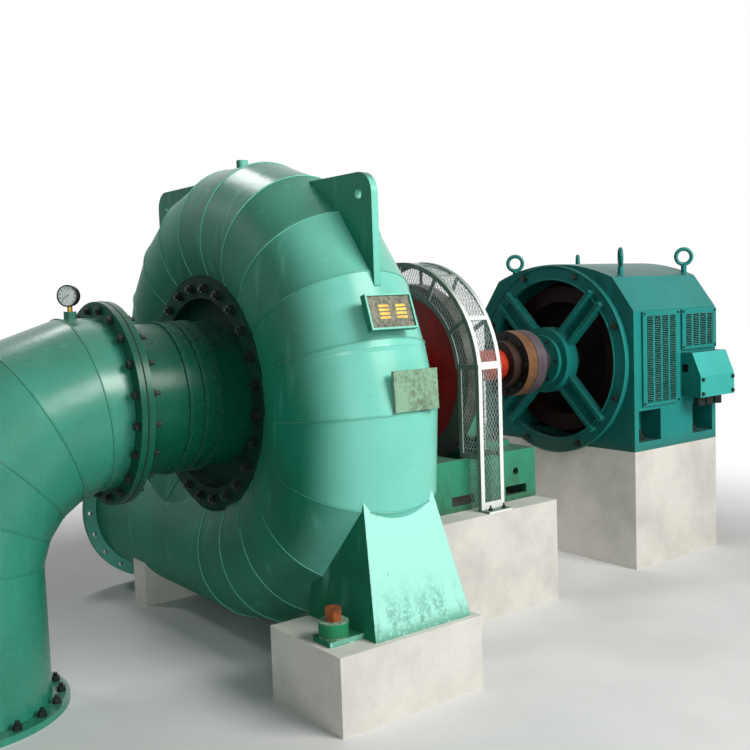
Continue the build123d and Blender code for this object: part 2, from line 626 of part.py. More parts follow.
def arch(outer, x0, x1, floor_z):
    """Arch outline about the shaft: half round above, straight legs below."""
    legs = Polyline((outer, 0), (outer, floor_z), (-outer, floor_z), (-outer, 0))
    crown = ThreePointArc((-outer, 0), (0, outer), (outer, 0))
    outline = make_face([*legs.edges(), *crown.edges()])
    return extrude(Plane((x0, 0, 0), x_dir=(0, 1, 0), z_dir=(1, 0, 0)) * outline, x1 - x0)


# Flywheel guard: two arched side frames of angle bar joined by bars across the rim
foot_z = base_sole + GUARD_FOOT_T
guard_front = FLYWHEEL_STATION - GUARD_HALF_WIDTH
guard_back = FLYWHEEL_STATION + GUARD_HALF_WIDTH
for name, outer_x, inward in (("front", guard_front, 1), ("rear", guard_back, -1)):
    x0, x1 = sorted((outer_x, outer_x + inward * GUARD_SHEET))
    rim_bar = arch(GUARD_R, x0, x1, foot_z) - arch(GUARD_R - GUARD_BAR, x0, x1, foot_z)
    inner_bar = along_shaft(x0, x1, GUARD_INNER_R + GUARD_BAR) - along_shaft(x0, x1, GUARD_INNER_R)
    inner_bar -= block(x0, x1, -GUARD_R, GUARD_R, -GUARD_R, GUARD_CROSSBAR_Z)
    lip_x0, lip_x1 = sorted((outer_x, outer_x + inward * GUARD_BAR))
    lip = arch(GUARD_R, lip_x0, lip_x1, foot_z) - arch(GUARD_R - GUARD_SHEET, lip_x0, lip_x1, foot_z)
    frame = rim_bar + inner_bar + lip
    for index in range(GUARD_DIVIDERS):
        turn = 180 * (index + 1) / (GUARD_DIVIDERS + 1)
        mid_r = (GUARD_INNER_R + GUARD_R) / 2
        spoke = Box(GUARD_SHEET, GUARD_R - GUARD_INNER_R - GUARD_BAR, GUARD_BAR)
        place = Vector((x0 + x1) / 2, mid_r * math.cos(math.radians(turn)), mid_r * math.sin(math.radians(turn)))
        frame += Pos(place.X, place.Y, place.Z) * Rot(turn, 0, 0) * spoke
    for side in (-1, 1):
        inner_edge = GUARD_R - GUARD_LEG_WIDTH
        low, high = sorted((side * inner_edge, side * GUARD_R))
        post_low, post_high = sorted((side * inner_edge, side * (inner_edge + GUARD_BAR)))
        frame += block(x0, x1, low, high, GUARD_CROSSBAR_Z, GUARD_CROSSBAR_Z + GUARD_BAR)
        frame += block(x0, x1, post_low, post_high, base_top, GUARD_CROSSBAR_Z)
        frame += block(x0, x1, low, high, base_top, base_top + GUARD_BAR)
    keep(f"guard_frame_{name}", frame)
rim_x0 = guard_front + GUARD_BAR
rim_x1 = guard_back - GUARD_BAR
rim = arch(GUARD_R, rim_x0, rim_x1, foot_z) - arch(GUARD_R - GUARD_SHEET, rim_x0, rim_x1, foot_z)
rim_bars = []
for index in range(GUARD_DIVIDERS):
    slab = Pos(fly_mid, 0, GUARD_R) * Box(4 * GUARD_HALF_WIDTH, GUARD_BAR, GUARD_R)
    rim_bars.append(rim & Rot(180 * (index + 1) / (GUARD_DIVIDERS + 1) - 90, 0, 0) * slab)
for side in (-1, 1):
    low, high = sorted((0, side * 2 * GUARD_R))
    for bar_z in (foot_z, GUARD_CROSSBAR_Z):
        rim_bars.append(rim & block(guard_front, guard_back, low, high, bar_z, bar_z + GUARD_CROSSBAR))
keep("guard_rim", Compound(children=rim_bars))
feet = []
for side in (-1, 1):
    low, high = sorted((side * (GUARD_R - GUARD_BAR), side * (GUARD_R + GUARD_FOOT_REACH)))
    feet.append(block(guard_front, guard_back, low, high, base_sole, foot_z))
keep("guard_feet", Compound(children=feet))

# Generator frame: bow-roofed welded box with end plates bored for the shields


def generator_section(inset):
    """Outline of the generator frame, drawn in by a wall thickness."""
    left = -GEN_HALF_WIDTH + inset
    shoulder = -GEN_SHOULDER_Y + inset
    path = Polyline(
        (shoulder, GEN_SHOULDER_Z - inset),
        (left, GEN_EAVES),
        (left, inset - GENERATOR_DROP),
        (-left, inset - GENERATOR_DROP),
        (-left, GEN_EAVES),
        (-shoulder, GEN_SHOULDER_Z - inset),
    )
    roof = ThreePointArc(
        (-shoulder, GEN_SHOULDER_Z - inset), (0, GEN_ROOF_Z - inset), (shoulder, GEN_SHOULDER_Z - inset)
    )
    return make_face([*path.edges(), *roof.edges()])


front_plane = Plane((GEN_FRONT, 0, 0), x_dir=(0, 1, 0), z_dir=(1, 0, 0))
inside_plane = Plane((GEN_FRONT + GEN_END_PLATE, 0, 0), x_dir=(0, 1, 0), z_dir=(1, 0, 0))
frame = extrude(front_plane * generator_section(0), GEN_LENGTH)
frame -= extrude(inside_plane * generator_section(GEN_WALL), GEN_LENGTH - 2 * GEN_END_PLATE)
frame -= along_shaft(GEN_FRONT, GEN_REAR, GEN_BORE_R)
core_x0 = GEN_FRONT + CORE_START
core_x1 = GEN_REAR - CORE_START
for start in (core_x0 + BULKHEAD_INSET, core_x1 - BULKHEAD_INSET - BULKHEAD_T):
    bulkhead_plane = Plane((start, 0, 0), x_dir=(0, 1, 0), z_dir=(1, 0, 0))
    bulkhead = extrude(bulkhead_plane * generator_section(GEN_WALL), BULKHEAD_T)
    frame += bulkhead - along_shaft(start, start + BULKHEAD_T, CORE_R + SEAT_GAP)
pocket_z = POCKET_RISE - GENERATOR_DROP
for start in (GEN_FRONT + POCKET_START, GEN_REAR - POCKET_START - POCKET_LENGTH):
    frame -= block(start, start + POCKET_LENGTH, -2 * GEN_HALF_WIDTH, 2 * GEN_HALF_WIDTH, pocket_z, pocket_z + POCKET_HEIGHT)
keep("generator_frame", frame)
keep("generator_plinth", block(
    GEN_FRONT, GEN_REAR, -GEN_HALF_WIDTH, GEN_HALF_WIDTH, FLOOR_Z, -GENERATOR_DROP,
))

# End shields: bolted ring, four ribbed arms on the diagonals and a bearing hub
for name, face, outward in (("front", GEN_FRONT, -1), ("rear", GEN_REAR, 1)):
    edge = sorted((face, face + outward * SHIELD_T))
    hub = sorted((face, face + outward * SHIELD_HUB_T))
    rib_span = sorted((face, face + outward * SHIELD_RIB_DEPTH))
    shield = ring(*edge, SHIELD_R, SHIELD_OPENING_R) + along_shaft(*hub, SHIELD_HUB_R)
    rib_length = SHIELD_OPENING_R + (SHIELD_R - SHIELD_OPENING_R) / 2
    web_span = sorted((face, face + outward * SHIELD_WEB_T))
    for quarter in range(4):
        web = block(*web_span, SHIELD_HUB_R / 2, rib_length, -SHIELD_RIB_PITCH / 2, SHIELD_RIB_PITCH / 2)
        shield += Rot(45 + 90 * quarter, 0, 0) * web
        for side in (-1, 1):
            low = side * SHIELD_RIB_PITCH / 2 - SHIELD_RIB_T / 2
            rib = block(*rib_span, SHIELD_HUB_R / 2, rib_length, low, low + SHIELD_RIB_T)
            shield += Rot(45 + 90 * quarter, 0, 0) * rib
    keep(f"end_shield_{name}", shield - along_shaft(*hub, SHAFT_R + RUN_GAP))
cap_front = GEN_FRONT - SHIELD_HUB_T
keep("bearing_cover_front", ring(cap_front - BEARING_CAP_T, cap_front, BEARING_CAP_R, SHAFT_R + RUN_GAP))
keep("bearing_cover_rear", along_shaft(REAR_CAP_FACE, HIGH_X, BEARING_CAP_R))

# Stator core, winding ends and rotor
keep("stator_core", ring(core_x0, core_x1, CORE_R, CORE_BORE_R))
coil_front = ring(core_x0 - COIL_REACH, core_x0, COIL_R, COIL_BORE_R)
coil_rear = ring(core_x1, core_x1 + COIL_REACH, COIL_R, COIL_BORE_R)
keep("winding_ends", Compound(children=[coil_front, coil_rear]))
keep("generator_rotor", ring(core_x0, core_x1, CORE_BORE_R - ROTOR_AIR_GAP, SHAFT_R))


def side_panel(start, height, side):
    """Flat ventilation panel on one flank of the generator."""
    y0, y1 = sorted((side * GEN_HALF_WIDTH, side * (GEN_HALF_WIDTH + PANEL_T)))
    return block(GEN_FRONT + start, GEN_FRONT + start + PANEL_LENGTH, y0, y1, PANEL_TOP - height, PANEL_TOP)


keep("vent_panel_near_tall", side_panel(TALL_PANEL_START, TALL_PANEL_HEIGHT, -1))
keep("vent_panel_near_short", side_panel(SHORT_PANEL_START, SHORT_PANEL_HEIGHT, -1))
keep("vent_panel_far_tall", side_panel(TALL_PANEL_START, TALL_PANEL_HEIGHT, 1))
keep("vent_panel_far_short", side_panel(SHORT_PANEL_START, SHORT_PANEL_HEIGHT, 1))

# Terminal box below the short panel: sloped above its knee, with cable glands below
box_top = PANEL_TOP - SHORT_PANEL_HEIGHT - BOX_GAP
box_bottom = box_top - BOX_HEIGHT
box_outline = make_face(Polyline(
    (-GEN_HALF_WIDTH, box_top),
    (-GEN_HALF_WIDTH - BOX_DEPTH_TOP, box_top),
    (-GEN_HALF_WIDTH - BOX_DEPTH_BOTTOM, box_top - BOX_KNEE),
    (-GEN_HALF_WIDTH - BOX_DEPTH_BOTTOM, box_bottom),
    (-GEN_HALF_WIDTH, box_bottom),
    close=True,
))
box_start = GEN_FRONT + SHORT_PANEL_START
box_plane = Plane((box_start, 0, 0), x_dir=(0, 1, 0), z_dir=(1, 0, 0))
keep("terminal_box", extrude(box_plane * box_outline, PANEL_LENGTH))
glands = []
for index in range(GLANDS):
    place = box_start + PANEL_LENGTH * (index + 1) / (GLANDS + 1)
    gland = Cylinder(GLAND_R, GLAND_LENGTH)
    glands.append(Pos(place, -GEN_HALF_WIDTH - BOX_DEPTH_BOTTOM / 2, box_bottom - GLAND_LENGTH / 2) * gland)
keep("cable_glands", Compound(children=glands))

# Lifting eyes at the four roof shoulders
roof_drop = GEN_ROOF_Z - GEN_SHOULDER_Z
roof_r = (GEN_SHOULDER_Y ** 2 + roof_drop ** 2) / (2 * roof_drop)
eye_foot = GEN_ROOF_Z - roof_r + math.sqrt(roof_r ** 2 - EYE_Y ** 2)
shank_length = 8 * EYE_BAR_R
bar_section = Plane.XZ * Pos(EYE_RING_R, 0) * RegularPolygon(EYE_BAR_R, EYE_BAR_SIDES)
eye_ring = revolve(bar_section, axis=Axis.Z)
eyes = []
for station in (EYE_START, EYE_START + EYE_PITCH):
    for side in (-1, 1):
        eye = Cylinder(EYE_SHANK_R, shank_length)
        eye += Pos(0, 0, (shank_length + EYE_BAR_R) / 2 + EYE_RING_R) * Rot(90, 0, 0) * eye_ring
        turn = -EYE_TURN if station == EYE_START else EYE_TURN
        eye = Pos(GEN_FRONT + station, side * EYE_Y, eye_foot) * Rot(0, 0, side * turn) * eye
        eyes.append(eye - extrude(front_plane * generator_section(0), GEN_LENGTH))
keep("lifting_eyes", Compound(children=eyes))

os.makedirs("parts", exist_ok=True)
for node_name, node_shape in NODES.items():
    export_step(node_shape, f"parts/{node_name}.step")
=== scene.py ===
import json
import math

import bpy
from mathutils import Matrix, Vector


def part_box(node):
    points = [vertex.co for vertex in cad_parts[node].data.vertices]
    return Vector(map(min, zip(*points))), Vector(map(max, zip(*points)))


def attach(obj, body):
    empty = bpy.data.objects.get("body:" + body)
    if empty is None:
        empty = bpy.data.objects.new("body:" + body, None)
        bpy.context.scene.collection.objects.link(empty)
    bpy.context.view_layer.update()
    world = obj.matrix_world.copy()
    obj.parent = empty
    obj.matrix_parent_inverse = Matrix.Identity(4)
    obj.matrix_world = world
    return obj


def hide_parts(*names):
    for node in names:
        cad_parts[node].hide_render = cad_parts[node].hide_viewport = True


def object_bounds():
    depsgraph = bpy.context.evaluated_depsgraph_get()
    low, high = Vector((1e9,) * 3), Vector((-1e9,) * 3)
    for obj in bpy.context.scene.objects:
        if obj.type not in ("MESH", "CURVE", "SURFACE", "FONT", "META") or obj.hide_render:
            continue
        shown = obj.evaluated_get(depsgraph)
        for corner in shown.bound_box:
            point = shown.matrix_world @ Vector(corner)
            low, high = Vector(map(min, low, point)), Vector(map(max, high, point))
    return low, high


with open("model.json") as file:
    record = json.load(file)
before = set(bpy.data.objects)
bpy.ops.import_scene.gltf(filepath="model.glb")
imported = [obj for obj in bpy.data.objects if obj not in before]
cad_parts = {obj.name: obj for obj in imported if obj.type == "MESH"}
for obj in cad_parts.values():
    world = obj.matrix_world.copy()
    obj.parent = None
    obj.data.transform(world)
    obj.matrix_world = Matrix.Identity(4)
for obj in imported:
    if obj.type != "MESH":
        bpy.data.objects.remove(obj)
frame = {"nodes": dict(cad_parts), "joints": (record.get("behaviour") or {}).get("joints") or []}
cad_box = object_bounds()

# The machine's own measures: stations run along the shaft from the draft flange joint,
# sides and heights are taken from the shaft axis. All in metres.
axis_point = Vector(frame["joints"][0]["pos_m"])
datum = Vector((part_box("draft_cone_flange")[0].x, axis_point.y, axis_point.z))


def at(station, side, height):
    """A place on the machine, from its station along the shaft and its side and height off the axis."""
    return datum + Vector((station, side, height))


# Viewpoint: the visitor stands on the near side, ahead of the draft elbow and a little above the shaft.
# The picture is square, and the lens is given by its focal length in picture widths.
viewer = at(-1.62626, -4.07690, 0.43377)
view_yaw = math.radians(52.79)
view_pitch = math.radians(-4.747)
view_roll = math.radians(-1.977)
focal_widths = 1.30763

forward = Vector((
    math.cos(view_yaw) * math.cos(view_pitch),
    math.sin(view_yaw) * math.cos(view_pitch),
    math.sin(view_pitch),
))
level_right = Vector((math.sin(view_yaw), -math.cos(view_yaw), 0))
level_up = level_right.cross(forward)
right = math.cos(view_roll) * level_right + math.sin(view_roll) * level_up
up = math.cos(view_roll) * level_up - math.sin(view_roll) * level_right
lens = bpy.data.cameras.new("viewpoint")
lens.sensor_width = 36
lens.lens = lens.sensor_width * focal_widths
camera = bpy.data.objects.new("viewpoint", lens)
camera.matrix_world = Matrix.Translation(viewer) @ Matrix((right, up, -forward)).transposed().to_4x4()
bpy.context.scene.collection.objects.link(camera)
bpy.context.scene.camera = camera
bpy.context.scene.view_settings.view_transform = "Standard"


# Daylight of the turbine hall: a pale surround, a wall of windows on the near side
# and high panes on the far side that show in the gloss of the enamel.


class Wire:
    """One socket of a node tree. Sums on it add Math nodes, and node() adds any other kind."""

    def __init__(self, tree, socket=None):
        self.tree = tree
        self.socket = socket

    def node(self, kind, sockets=None, output=0, **settings):
        """Add a node: its settings first, then values or links on its sockets by name or number."""
        made = self.tree.nodes.new(kind)
        for key, value in settings.items():
            setattr(made, key, value)
        for key, value in (sockets or {}).items():
            for link in value if isinstance(value, list) else [value]:
                if isinstance(link, Wire):
                    self.tree.links.new(link.socket, made.inputs[key])
                else:
                    made.inputs[key].default_value = link
        return Wire(self.tree, made.outputs[output] if len(made.outputs) else None)

    def math(self, operation, first, second):
        return self.node("ShaderNodeMath", {0: first, 1: second}, operation=operation)

    def __add__(self, other):
        return self.math("ADD", self, other)

    def __radd__(self, other):
        return self.math("ADD", other, self)

    def __sub__(self, other):
        return self.math("SUBTRACT", self, other)

    def __rsub__(self, other):
        return self.math("SUBTRACT", other, self)

    def __mul__(self, other):
        return self.math("MULTIPLY", self, other)

    def __rmul__(self, other):
        return self.math("MULTIPLY", other, self)

    def larger(self, other):
        return self.math("MAXIMUM", self, other)

    def between(self, low, high):
        """0 at the low value, 1 at the high one, smooth in between."""
        return self.node("ShaderNodeMapRange", {0: self, 1: low, 2: high}, interpolation_type="SMOOTHSTEP")

    def span(self, low, high):
        """Spread a 0 to 1 value over a range."""
        return self.node("ShaderNodeMapRange", {0: self, 3: low, 4: high})

    def tinted(self, colour, amount):
        """This colour, covered by another one by an amount."""
        sockets = {0: amount, 6: self, 7: colour if isinstance(colour, Wire) else (*colour, 1)}
        return self.node("ShaderNodeMix", sockets, output=2, data_type="RGBA")

    def blend(self, first, second):
        """Two colours, mixed by this amount."""
        sockets = {0: self, 6: (*first, 1), 7: (*second, 1)}
        return self.node("ShaderNodeMix", sockets, output=2, data_type="RGBA")

    def noise(self, scale, detail=2.0, roughness=0.5):
        """Cloudy values over a place."""
        sockets = {"Vector": self, "Scale": scale, "Detail": detail, "Roughness": roughness}
        return self.node("ShaderNodeTexNoise", sockets)

    def part(self, letter):
        """One of the three parts of a vector."""
        return self.node("ShaderNodeSeparateXYZ", {0: self}, output=letter)

    def bump(self, strength, distance):
        """Relief of this height, for a surface's normal."""
        return self.node("ShaderNodeBump", {"Strength": strength, "Distance": distance, "Height": self})


def lamp(name, place, target, width, height, power, colour):
    """Rectangular soft light aimed at a point."""
    glow = bpy.data.lights.new(name, "AREA")
    glow.shape = "RECTANGLE"
    glow.size = width
    glow.size_y = height
    glow.energy = power
    glow.color = colour
    holder = bpy.data.objects.new(name, glow)
    aim = (target - place).to_track_quat("-Z", "Y").to_matrix().to_4x4()
    holder.matrix_world = Matrix.Translation(place) @ aim
    bpy.context.scene.collection.objects.link(holder)


surround = bpy.data.worlds.new("hall_surround")
surround.use_nodes = True
bpy.context.scene.world = surround
surround.node_tree.nodes.clear()
sky = Wire(surround.node_tree)
seen = sky.node("ShaderNodeLightPath", output="Is Camera Ray")
mirrored = sky.node("ShaderNodeLightPath", output="Is Glossy Ray")
passed = sky.node("ShaderNodeLightPath", output="Is Transmission Ray")
shown = seen.larger(mirrored.larger(passed))
ambient = 0.10
background = sky.node("ShaderNodeBackground", {"Color": (1, 1, 1, 1), "Strength": shown.span(ambient, 1.0)})
sky.node("ShaderNodeOutputWorld", {"Surface": background})
lamp("near_windows", at(2.9, -6.2, 3.8), at(0.9, -0.4, -0.1), 4.0, 2.6, 420, (1, 0.99, 0.96))
lamp("left_windows", at(-3.2, -6.6, 0.9), at(0.4, -0.6, -0.1), 2.2, 1.8, 84, (0.96, 0.98, 1))
lamp("far_panes_high", at(0.95, 3.7, 5.5), at(0.58, -0.3, 0.95), 1.9, 0.8, 85, (1, 1, 1))
lamp("far_panes_low", at(-2.2, 4.2, 3.9), at(0.46, -0.27, 0.8), 0.7, 1.0, 40, (1, 1, 1))

# Floor of the hall: one sheet of pale matt ground that keeps the shadow under the set.
# Away from the machine it fades into the surround.
floor_reach = 40.0
fade_start = 2.2
fade_end = 5.0
floor_corners = ((-1, -1), (1, -1), (1, 1), (-1, 1))
floor_points = [(x * floor_reach, y * floor_reach, cad_box[0][2]) for x, y in floor_corners]
floor_mesh = bpy.data.meshes.new("floor")
floor_mesh.from_pydata(floor_points, [], [(0, 1, 2, 3)])
floor = bpy.data.objects.new("floor", floor_mesh)
bpy.context.scene.collection.objects.link(floor)


def new_finish(name):
    """Empty material, with a wire to build it on."""
    finish = bpy.data.materials.new(name)
    finish.use_nodes = True
    finish.node_tree.nodes.clear()
    return finish, Wire(finish.node_tree)


ground, soil = new_finish("pale_ground")
spot = soil.node("ShaderNodeTexCoord", output="Object")
ground_colour = spot.noise(3.0, 4.0).between(0.3, 0.7).span(0.80, 0.84)
matt = soil.node("ShaderNodeBsdfPrincipled", {
    "Base Color": ground_colour, "Roughness": 1.0, "Specular IOR Level": 0.0,
})
bright = soil.node("ShaderNodeEmission", {"Color": (1, 1, 1, 1), "Strength": 1.0})
distance = soil.node("ShaderNodeVectorMath", {0: spot}, output="Value", operation="LENGTH")
looked = soil.node("ShaderNodeLightPath", output="Is Camera Ray")
faded_out = distance.between(fade_start, fade_end) * looked
soil.node("ShaderNodeOutputMaterial", {
    "Surface": soil.node("ShaderNodeMixShader", {0: faded_out, 1: matt, 2: bright}),
})
floor_mesh.materials.append(ground)


# Water side: spiral casing, draft elbow, cone, covers and lugs, of welded plate brushed with green
# gloss enamel. The coat is cloudy, painted paler on the window side as a stand-in for the light there, dusty
# on top and thin on the edges.


def tone(red, green, blue):
    """A colour as the eye reads it, turned into amounts of light."""
    parts = (red, green, blue)
    return tuple(part / 12.92 if part < 0.04045 else ((part + 0.055) / 1.055) ** 2.4 for part in parts)


def close_finish(wire, sockets):
    """End a material with a surface that has these values on its sockets."""
    surface = wire.node("ShaderNodeBsdfPrincipled", sockets)
    wire.node("ShaderNodeOutputMaterial", {"Surface": surface})


def enamel(
    name, coat, deep, lit_and_faded, bare, rough=0.22, edge=0.006, painted_light=0.7, dust=0.15,
    dirt=0.0, dirt_low=0.0, dirt_top=0.01, grime=tone(0.30, 0.24, 0.13), gleam=0.22,
):
    """Brushed enamel: painted paler on the faces toward the windows as a stand-in for their light, dusty on
    top, dirty low down and worn along its edges.
    """
    paint, brush = new_finish(name)
    spot = brush.node("ShaderNodeTexCoord", output="Object")
    facing = brush.node("ShaderNodeTexCoord", output="Normal")
    stretched = brush.node("ShaderNodeMapping", {"Vector": spot, "Scale": (9, 9, 1.1)})
    clouds = spot.noise(2.2, 5.0, 0.6)
    runs = stretched.noise(2.0, 3.0)
    specks = spot.noise(60.0, 6.0, 0.7)
    blots = spot.noise(24.0, 3.0, 0.55)
    toward = facing.part("Y") * -1
    lift = facing.part("Z").between(0.5, 1.0)
    window_lit_mask = toward.between(0.30, 0.88) * (1 - lift)
    turned_away = (1 - toward.between(0.0, 0.5)) * (1 - lift)
    height = spot.part("Z")
    rounded = brush.node("ShaderNodeBevel", {"Radius": edge}, samples=4)
    flat = brush.node("ShaderNodeNewGeometry", output="Normal")
    agree = brush.node("ShaderNodeVectorMath", {0: rounded, 1: flat}, output="Value", operation="DOT_PRODUCT")
    worn = (1 - agree).between(0.02, 0.2) * specks.between(0.40, 0.60)
    shade = clouds.between(0.35, 0.7).blend(coat, deep)
    # Painted light: faces turned to the windows take the paler tone, standing in for the daylight falling on
    # them.
    shade = shade.tinted(lit_and_faded, window_lit_mask * painted_light * clouds.span(1.25, 0.75))
    shade = shade.tinted(lit_and_faded, runs.between(0.55, 0.8) * 0.25)
    shade = shade.tinted(tone(0.66, 0.74, 0.68), lift * specks.between(0.3, 0.7) * dust)
    stain = specks.between(0.36, 0.60) * runs.between(0.35, 0.65) * (1 - height.between(dirt_low, dirt_top))
    splash = specks.between(0.30, 0.50) * (1 - height.between(dirt_low, dirt_low + 0.06))
    shade = shade.tinted(grime, stain.larger(splash) * dirt)
    chipped = blots.between(0.70, 0.73) * specks.between(0.5, 0.6)
    shade = shade.tinted(bare, worn.larger(chipped * 0.8))
    gloss = (specks.span(-0.06, 0.10) + rough + turned_away * 0.30).larger(worn * 0.5)
    relief = spot.noise(7.0, 2.0) + specks * 0.06 - chipped * 0.1
    close_finish(brush, {
        "Base Color": shade,
        "Roughness": gloss,
        "Normal": relief.bump(0.10, 0.012),
        "IOR": 1.5,
        "Specular IOR Level": gleam,
    })
    return paint


def dress(finish, *nodes):
    """Give CAD pieces their finish."""
    for node in nodes:
        for slot in frame["nodes"][node].material_slots:
            slot.material = finish


# The paler tone of each green is painted light, laid on the faces turned to the windows.
casing_green = enamel(
    "casing_green", coat=tone(0.03, 0.49, 0.38), deep=tone(0.02, 0.40, 0.30),
    lit_and_faded=tone(0.50, 0.86, 0.78), bare=tone(0.22, 0.56, 0.46), painted_light=0.95, gleam=0.32,
)
elbow_green = enamel(
    "elbow_green", coat=tone(0.05, 0.50, 0.40), deep=tone(0.02, 0.41, 0.31),
    lit_and_faded=tone(0.34, 0.72, 0.63), bare=tone(0.22, 0.56, 0.46), rough=0.26, painted_light=0.35, gleam=0.6,
)
# Painted shade: covers and stay ring are near black, and the cone a darker green, for the shade in the recess
# round the front cover; on the cone it is partly dirty paint too.
cover_green = enamel(
    "cover_green", coat=tone(0.05, 0.25, 0.20), deep=tone(0.03, 0.14, 0.11),
    lit_and_faded=tone(0.06, 0.26, 0.21), bare=tone(0.30, 0.42, 0.36), rough=0.34, painted_light=0.3, gleam=0.12,
)
cone_green = enamel(
    "cone_green", coat=tone(0.02, 0.34, 0.26), deep=tone(0.01, 0.26, 0.19),
    lit_and_faded=tone(0.10, 0.46, 0.36), bare=tone(0.34, 0.50, 0.43), rough=0.26, painted_light=0.3, gleam=0.25,
)
dress(
    casing_green, "spiral_casing", "inlet_flange",
    "lifting_lug_near", "lifting_lug_far", "vent_plug", "nameplate_tray", "plate_standoffs",
)
dress(elbow_green, "draft_elbow", "elbow_outlet_flange")
dress(cover_green, "front_cover", "stay_ring", "rear_cover")
dress(cone_green, "draft_cone", "draft_cone_flange", "elbow_flange")


# Weld seams of the scroll: a bead of weld metal runs round every mitre of its rolled cans,
# drawn along the seam's own oval and brushed over with the same enamel as the plate.


def tree_inputs(name, *sizes):
    """New geometry tree with its seed, finish and named sizes as inputs."""
    tree = bpy.data.node_groups.new(name, "GeometryNodeTree")
    tree.interface.new_socket("Seed", in_out="INPUT", socket_type="NodeSocketGeometry")
    tree.interface.new_socket("Finish", in_out="INPUT", socket_type="NodeSocketMaterial")
    for size in sizes:
        tree.interface.new_socket(size, in_out="INPUT", socket_type="NodeSocketFloat")
    tree.interface.new_socket("Shape", in_out="OUTPUT", socket_type="NodeSocketGeometry")
    entry = tree.nodes.new("NodeGroupInput")
    return {socket.name: Wire(tree, socket) for socket in entry.outputs if socket.name}


def close_tree(shape, finish):
    """End a tree with plain faces in their finish, and return it."""
    solid = shape.node("GeometryNodeRealizeInstances", {0: shape})
    coated = shape.node("GeometryNodeSetMaterial", {"Geometry": solid, "Material": finish})
    shape.node("NodeGroupOutput", {0: coated})
    return shape.tree


def grown(name, tree, seed, slot, finish, **sizes):
    """Grow a tree's shape on a seed mesh into one plain piece of the standing set."""
    piece = bpy.data.objects.new(name, seed)
    bpy.context.scene.collection.objects.link(piece)
    growth = piece.modifiers.new("growth", "NODES")
    growth.node_group = tree
    for socket in tree.interface.items_tree:
        key = socket.name.lower().replace(" ", "_")
        if key in sizes:
            growth[socket.identifier] = sizes[key]
        if key == "finish":
            growth[socket.identifier] = finish
    bpy.context.view_layer.update()
    result = bpy.data.meshes.new_from_object(piece.evaluated_get(bpy.context.evaluated_depsgraph_get()))
    piece.modifiers.clear()
    piece.data = result
    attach(piece, "housing")
    return piece


def oval(centre, first, second, count=96):
    """Points round an oval, from its centre and two half axes."""
    turns = [2 * math.pi * step / count for step in range(count)]
    return [centre + first * math.cos(turn) + second * math.sin(turn) for turn in turns]


def mitre(before, middle, after, radius, across):
    """Oval in which two cans of a bend meet."""
    arriving = (middle - before).normalized()
    normal = (arriving + (after - middle).normalized()).normalized()
    return oval(middle, normal.cross(across) * (radius / normal.dot(arriving)), across * radius)


def extent(node):
    """Lowest and highest station, side and height of a CAD piece."""
    low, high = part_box(node)
    return low - datum, high - datum


inputs = tree_inputs("round_bars", "Radius", "Sides")
paths = inputs["Seed"].node("GeometryNodeMeshToCurve", {"Mesh": inputs["Seed"]})
section = paths.node("GeometryNodeCurvePrimitiveCircle", {
    "Resolution": inputs["Sides"], "Radius": inputs["Radius"],
})
bars = paths.node("GeometryNodeCurveToMesh", {"Curve": paths, "Profile Curve": section, "Fill Caps": True})
round_bars = close_tree(bars, inputs["Finish"])


def rods(name, lines, slot, finish, radius, sides=6.0, closed=False):
    """Round bars along lines, each a list of points, as one piece."""
    points = []
    joins = []
    for line in lines:
        joins += [(len(points) + step, len(points) + step + 1) for step in range(len(line) - 1)]
        if closed:
            joins.append((len(points) + len(line) - 1, len(points)))
        points += line
    seed = bpy.data.meshes.new(name)
    seed.from_pydata(points, joins, [])
    return grown(name, round_bars, seed, slot, finish, radius=radius, sides=sides)


along_shaft = Vector((1, 0, 0))
bead_radius = 0.0032
bead_lift = 0.0006
casing_low, casing_high = extent("spiral_casing")
casing_station = (casing_low.x + casing_high.x) / 2
scroll_inlet = (casing_high.x - casing_low.x) / 2
scroll_tail = 0.310
scroll_inner = -casing_low.z - 2 * scroll_inlet
can_turn = math.radians(17)
can_count = 20
drawn_out = {2: 0.019, 3: 0.056, 4: 0.075, 5: 0.040}
drum_radius = extent("stay_ring")[1].z
inlet_face = extent("inlet_flange")[1].y


def scroll_radius(cans):
    """Radius of the scroll, counted in cans from the inlet."""
    return scroll_inlet + (scroll_tail - scroll_inlet) * cans / can_count


def scroll_middle(cans):
    """Centre of the scroll's section at a seam, drawn out where the casing rests on its saddle."""
    reach = scroll_inner + scroll_radius(cans) + drawn_out.get(cans, 0)
    return at(casing_station, -reach * math.sin(can_turn * cans), -reach * math.cos(can_turn * cans))


inlet_end = at(casing_station, inlet_face, -scroll_inner - scroll_inlet)
middles = [inlet_end] + [scroll_middle(cans) for cans in range(can_count + 1)]


def seam_ring(seam, lift=0.0):
    """Oval of one seam of the scroll, lifted off the plate."""
    return mitre(*middles[seam:seam + 3], scroll_radius(max(seam - 0.5, 0)) + lift, along_shaft)


def seam_shows(seam, point):
    """Whether a seam's point is clear of the stay ring and, past half way round, of the inlet pipe."""
    clear = math.hypot(point.y - datum.y, point.z - datum.z) > drum_radius
    piped = math.hypot(point.x - inlet_end.x, point.z - inlet_end.z) < scroll_inlet and point.y > datum.y
    return clear and not (piped and seam > can_count / 2)


scroll_rings = []
for seam in range(can_count):
    ring = seam_ring(seam, bead_lift)
    kept = [seam_shows(seam, point) for point in ring]
    breaks = [step for step in range(len(ring)) if kept[step] and not kept[step - 1]]
    first = breaks[0] if breaks else 0
    bead = [point for point in ring[first:] + ring[:first] if seam_shows(seam, point)]
    scroll_rings.append(bead if breaks else bead + bead[:1])
rods("scroll_welds", scroll_rings, "casing_enamel", casing_green, bead_radius)


# Swell over the saddle: the cans that rest on the saddle foot are drawn out of the round, in the same
# enamelled plate. One open shell runs through the ovals of their seams and meets the saddle's arc.


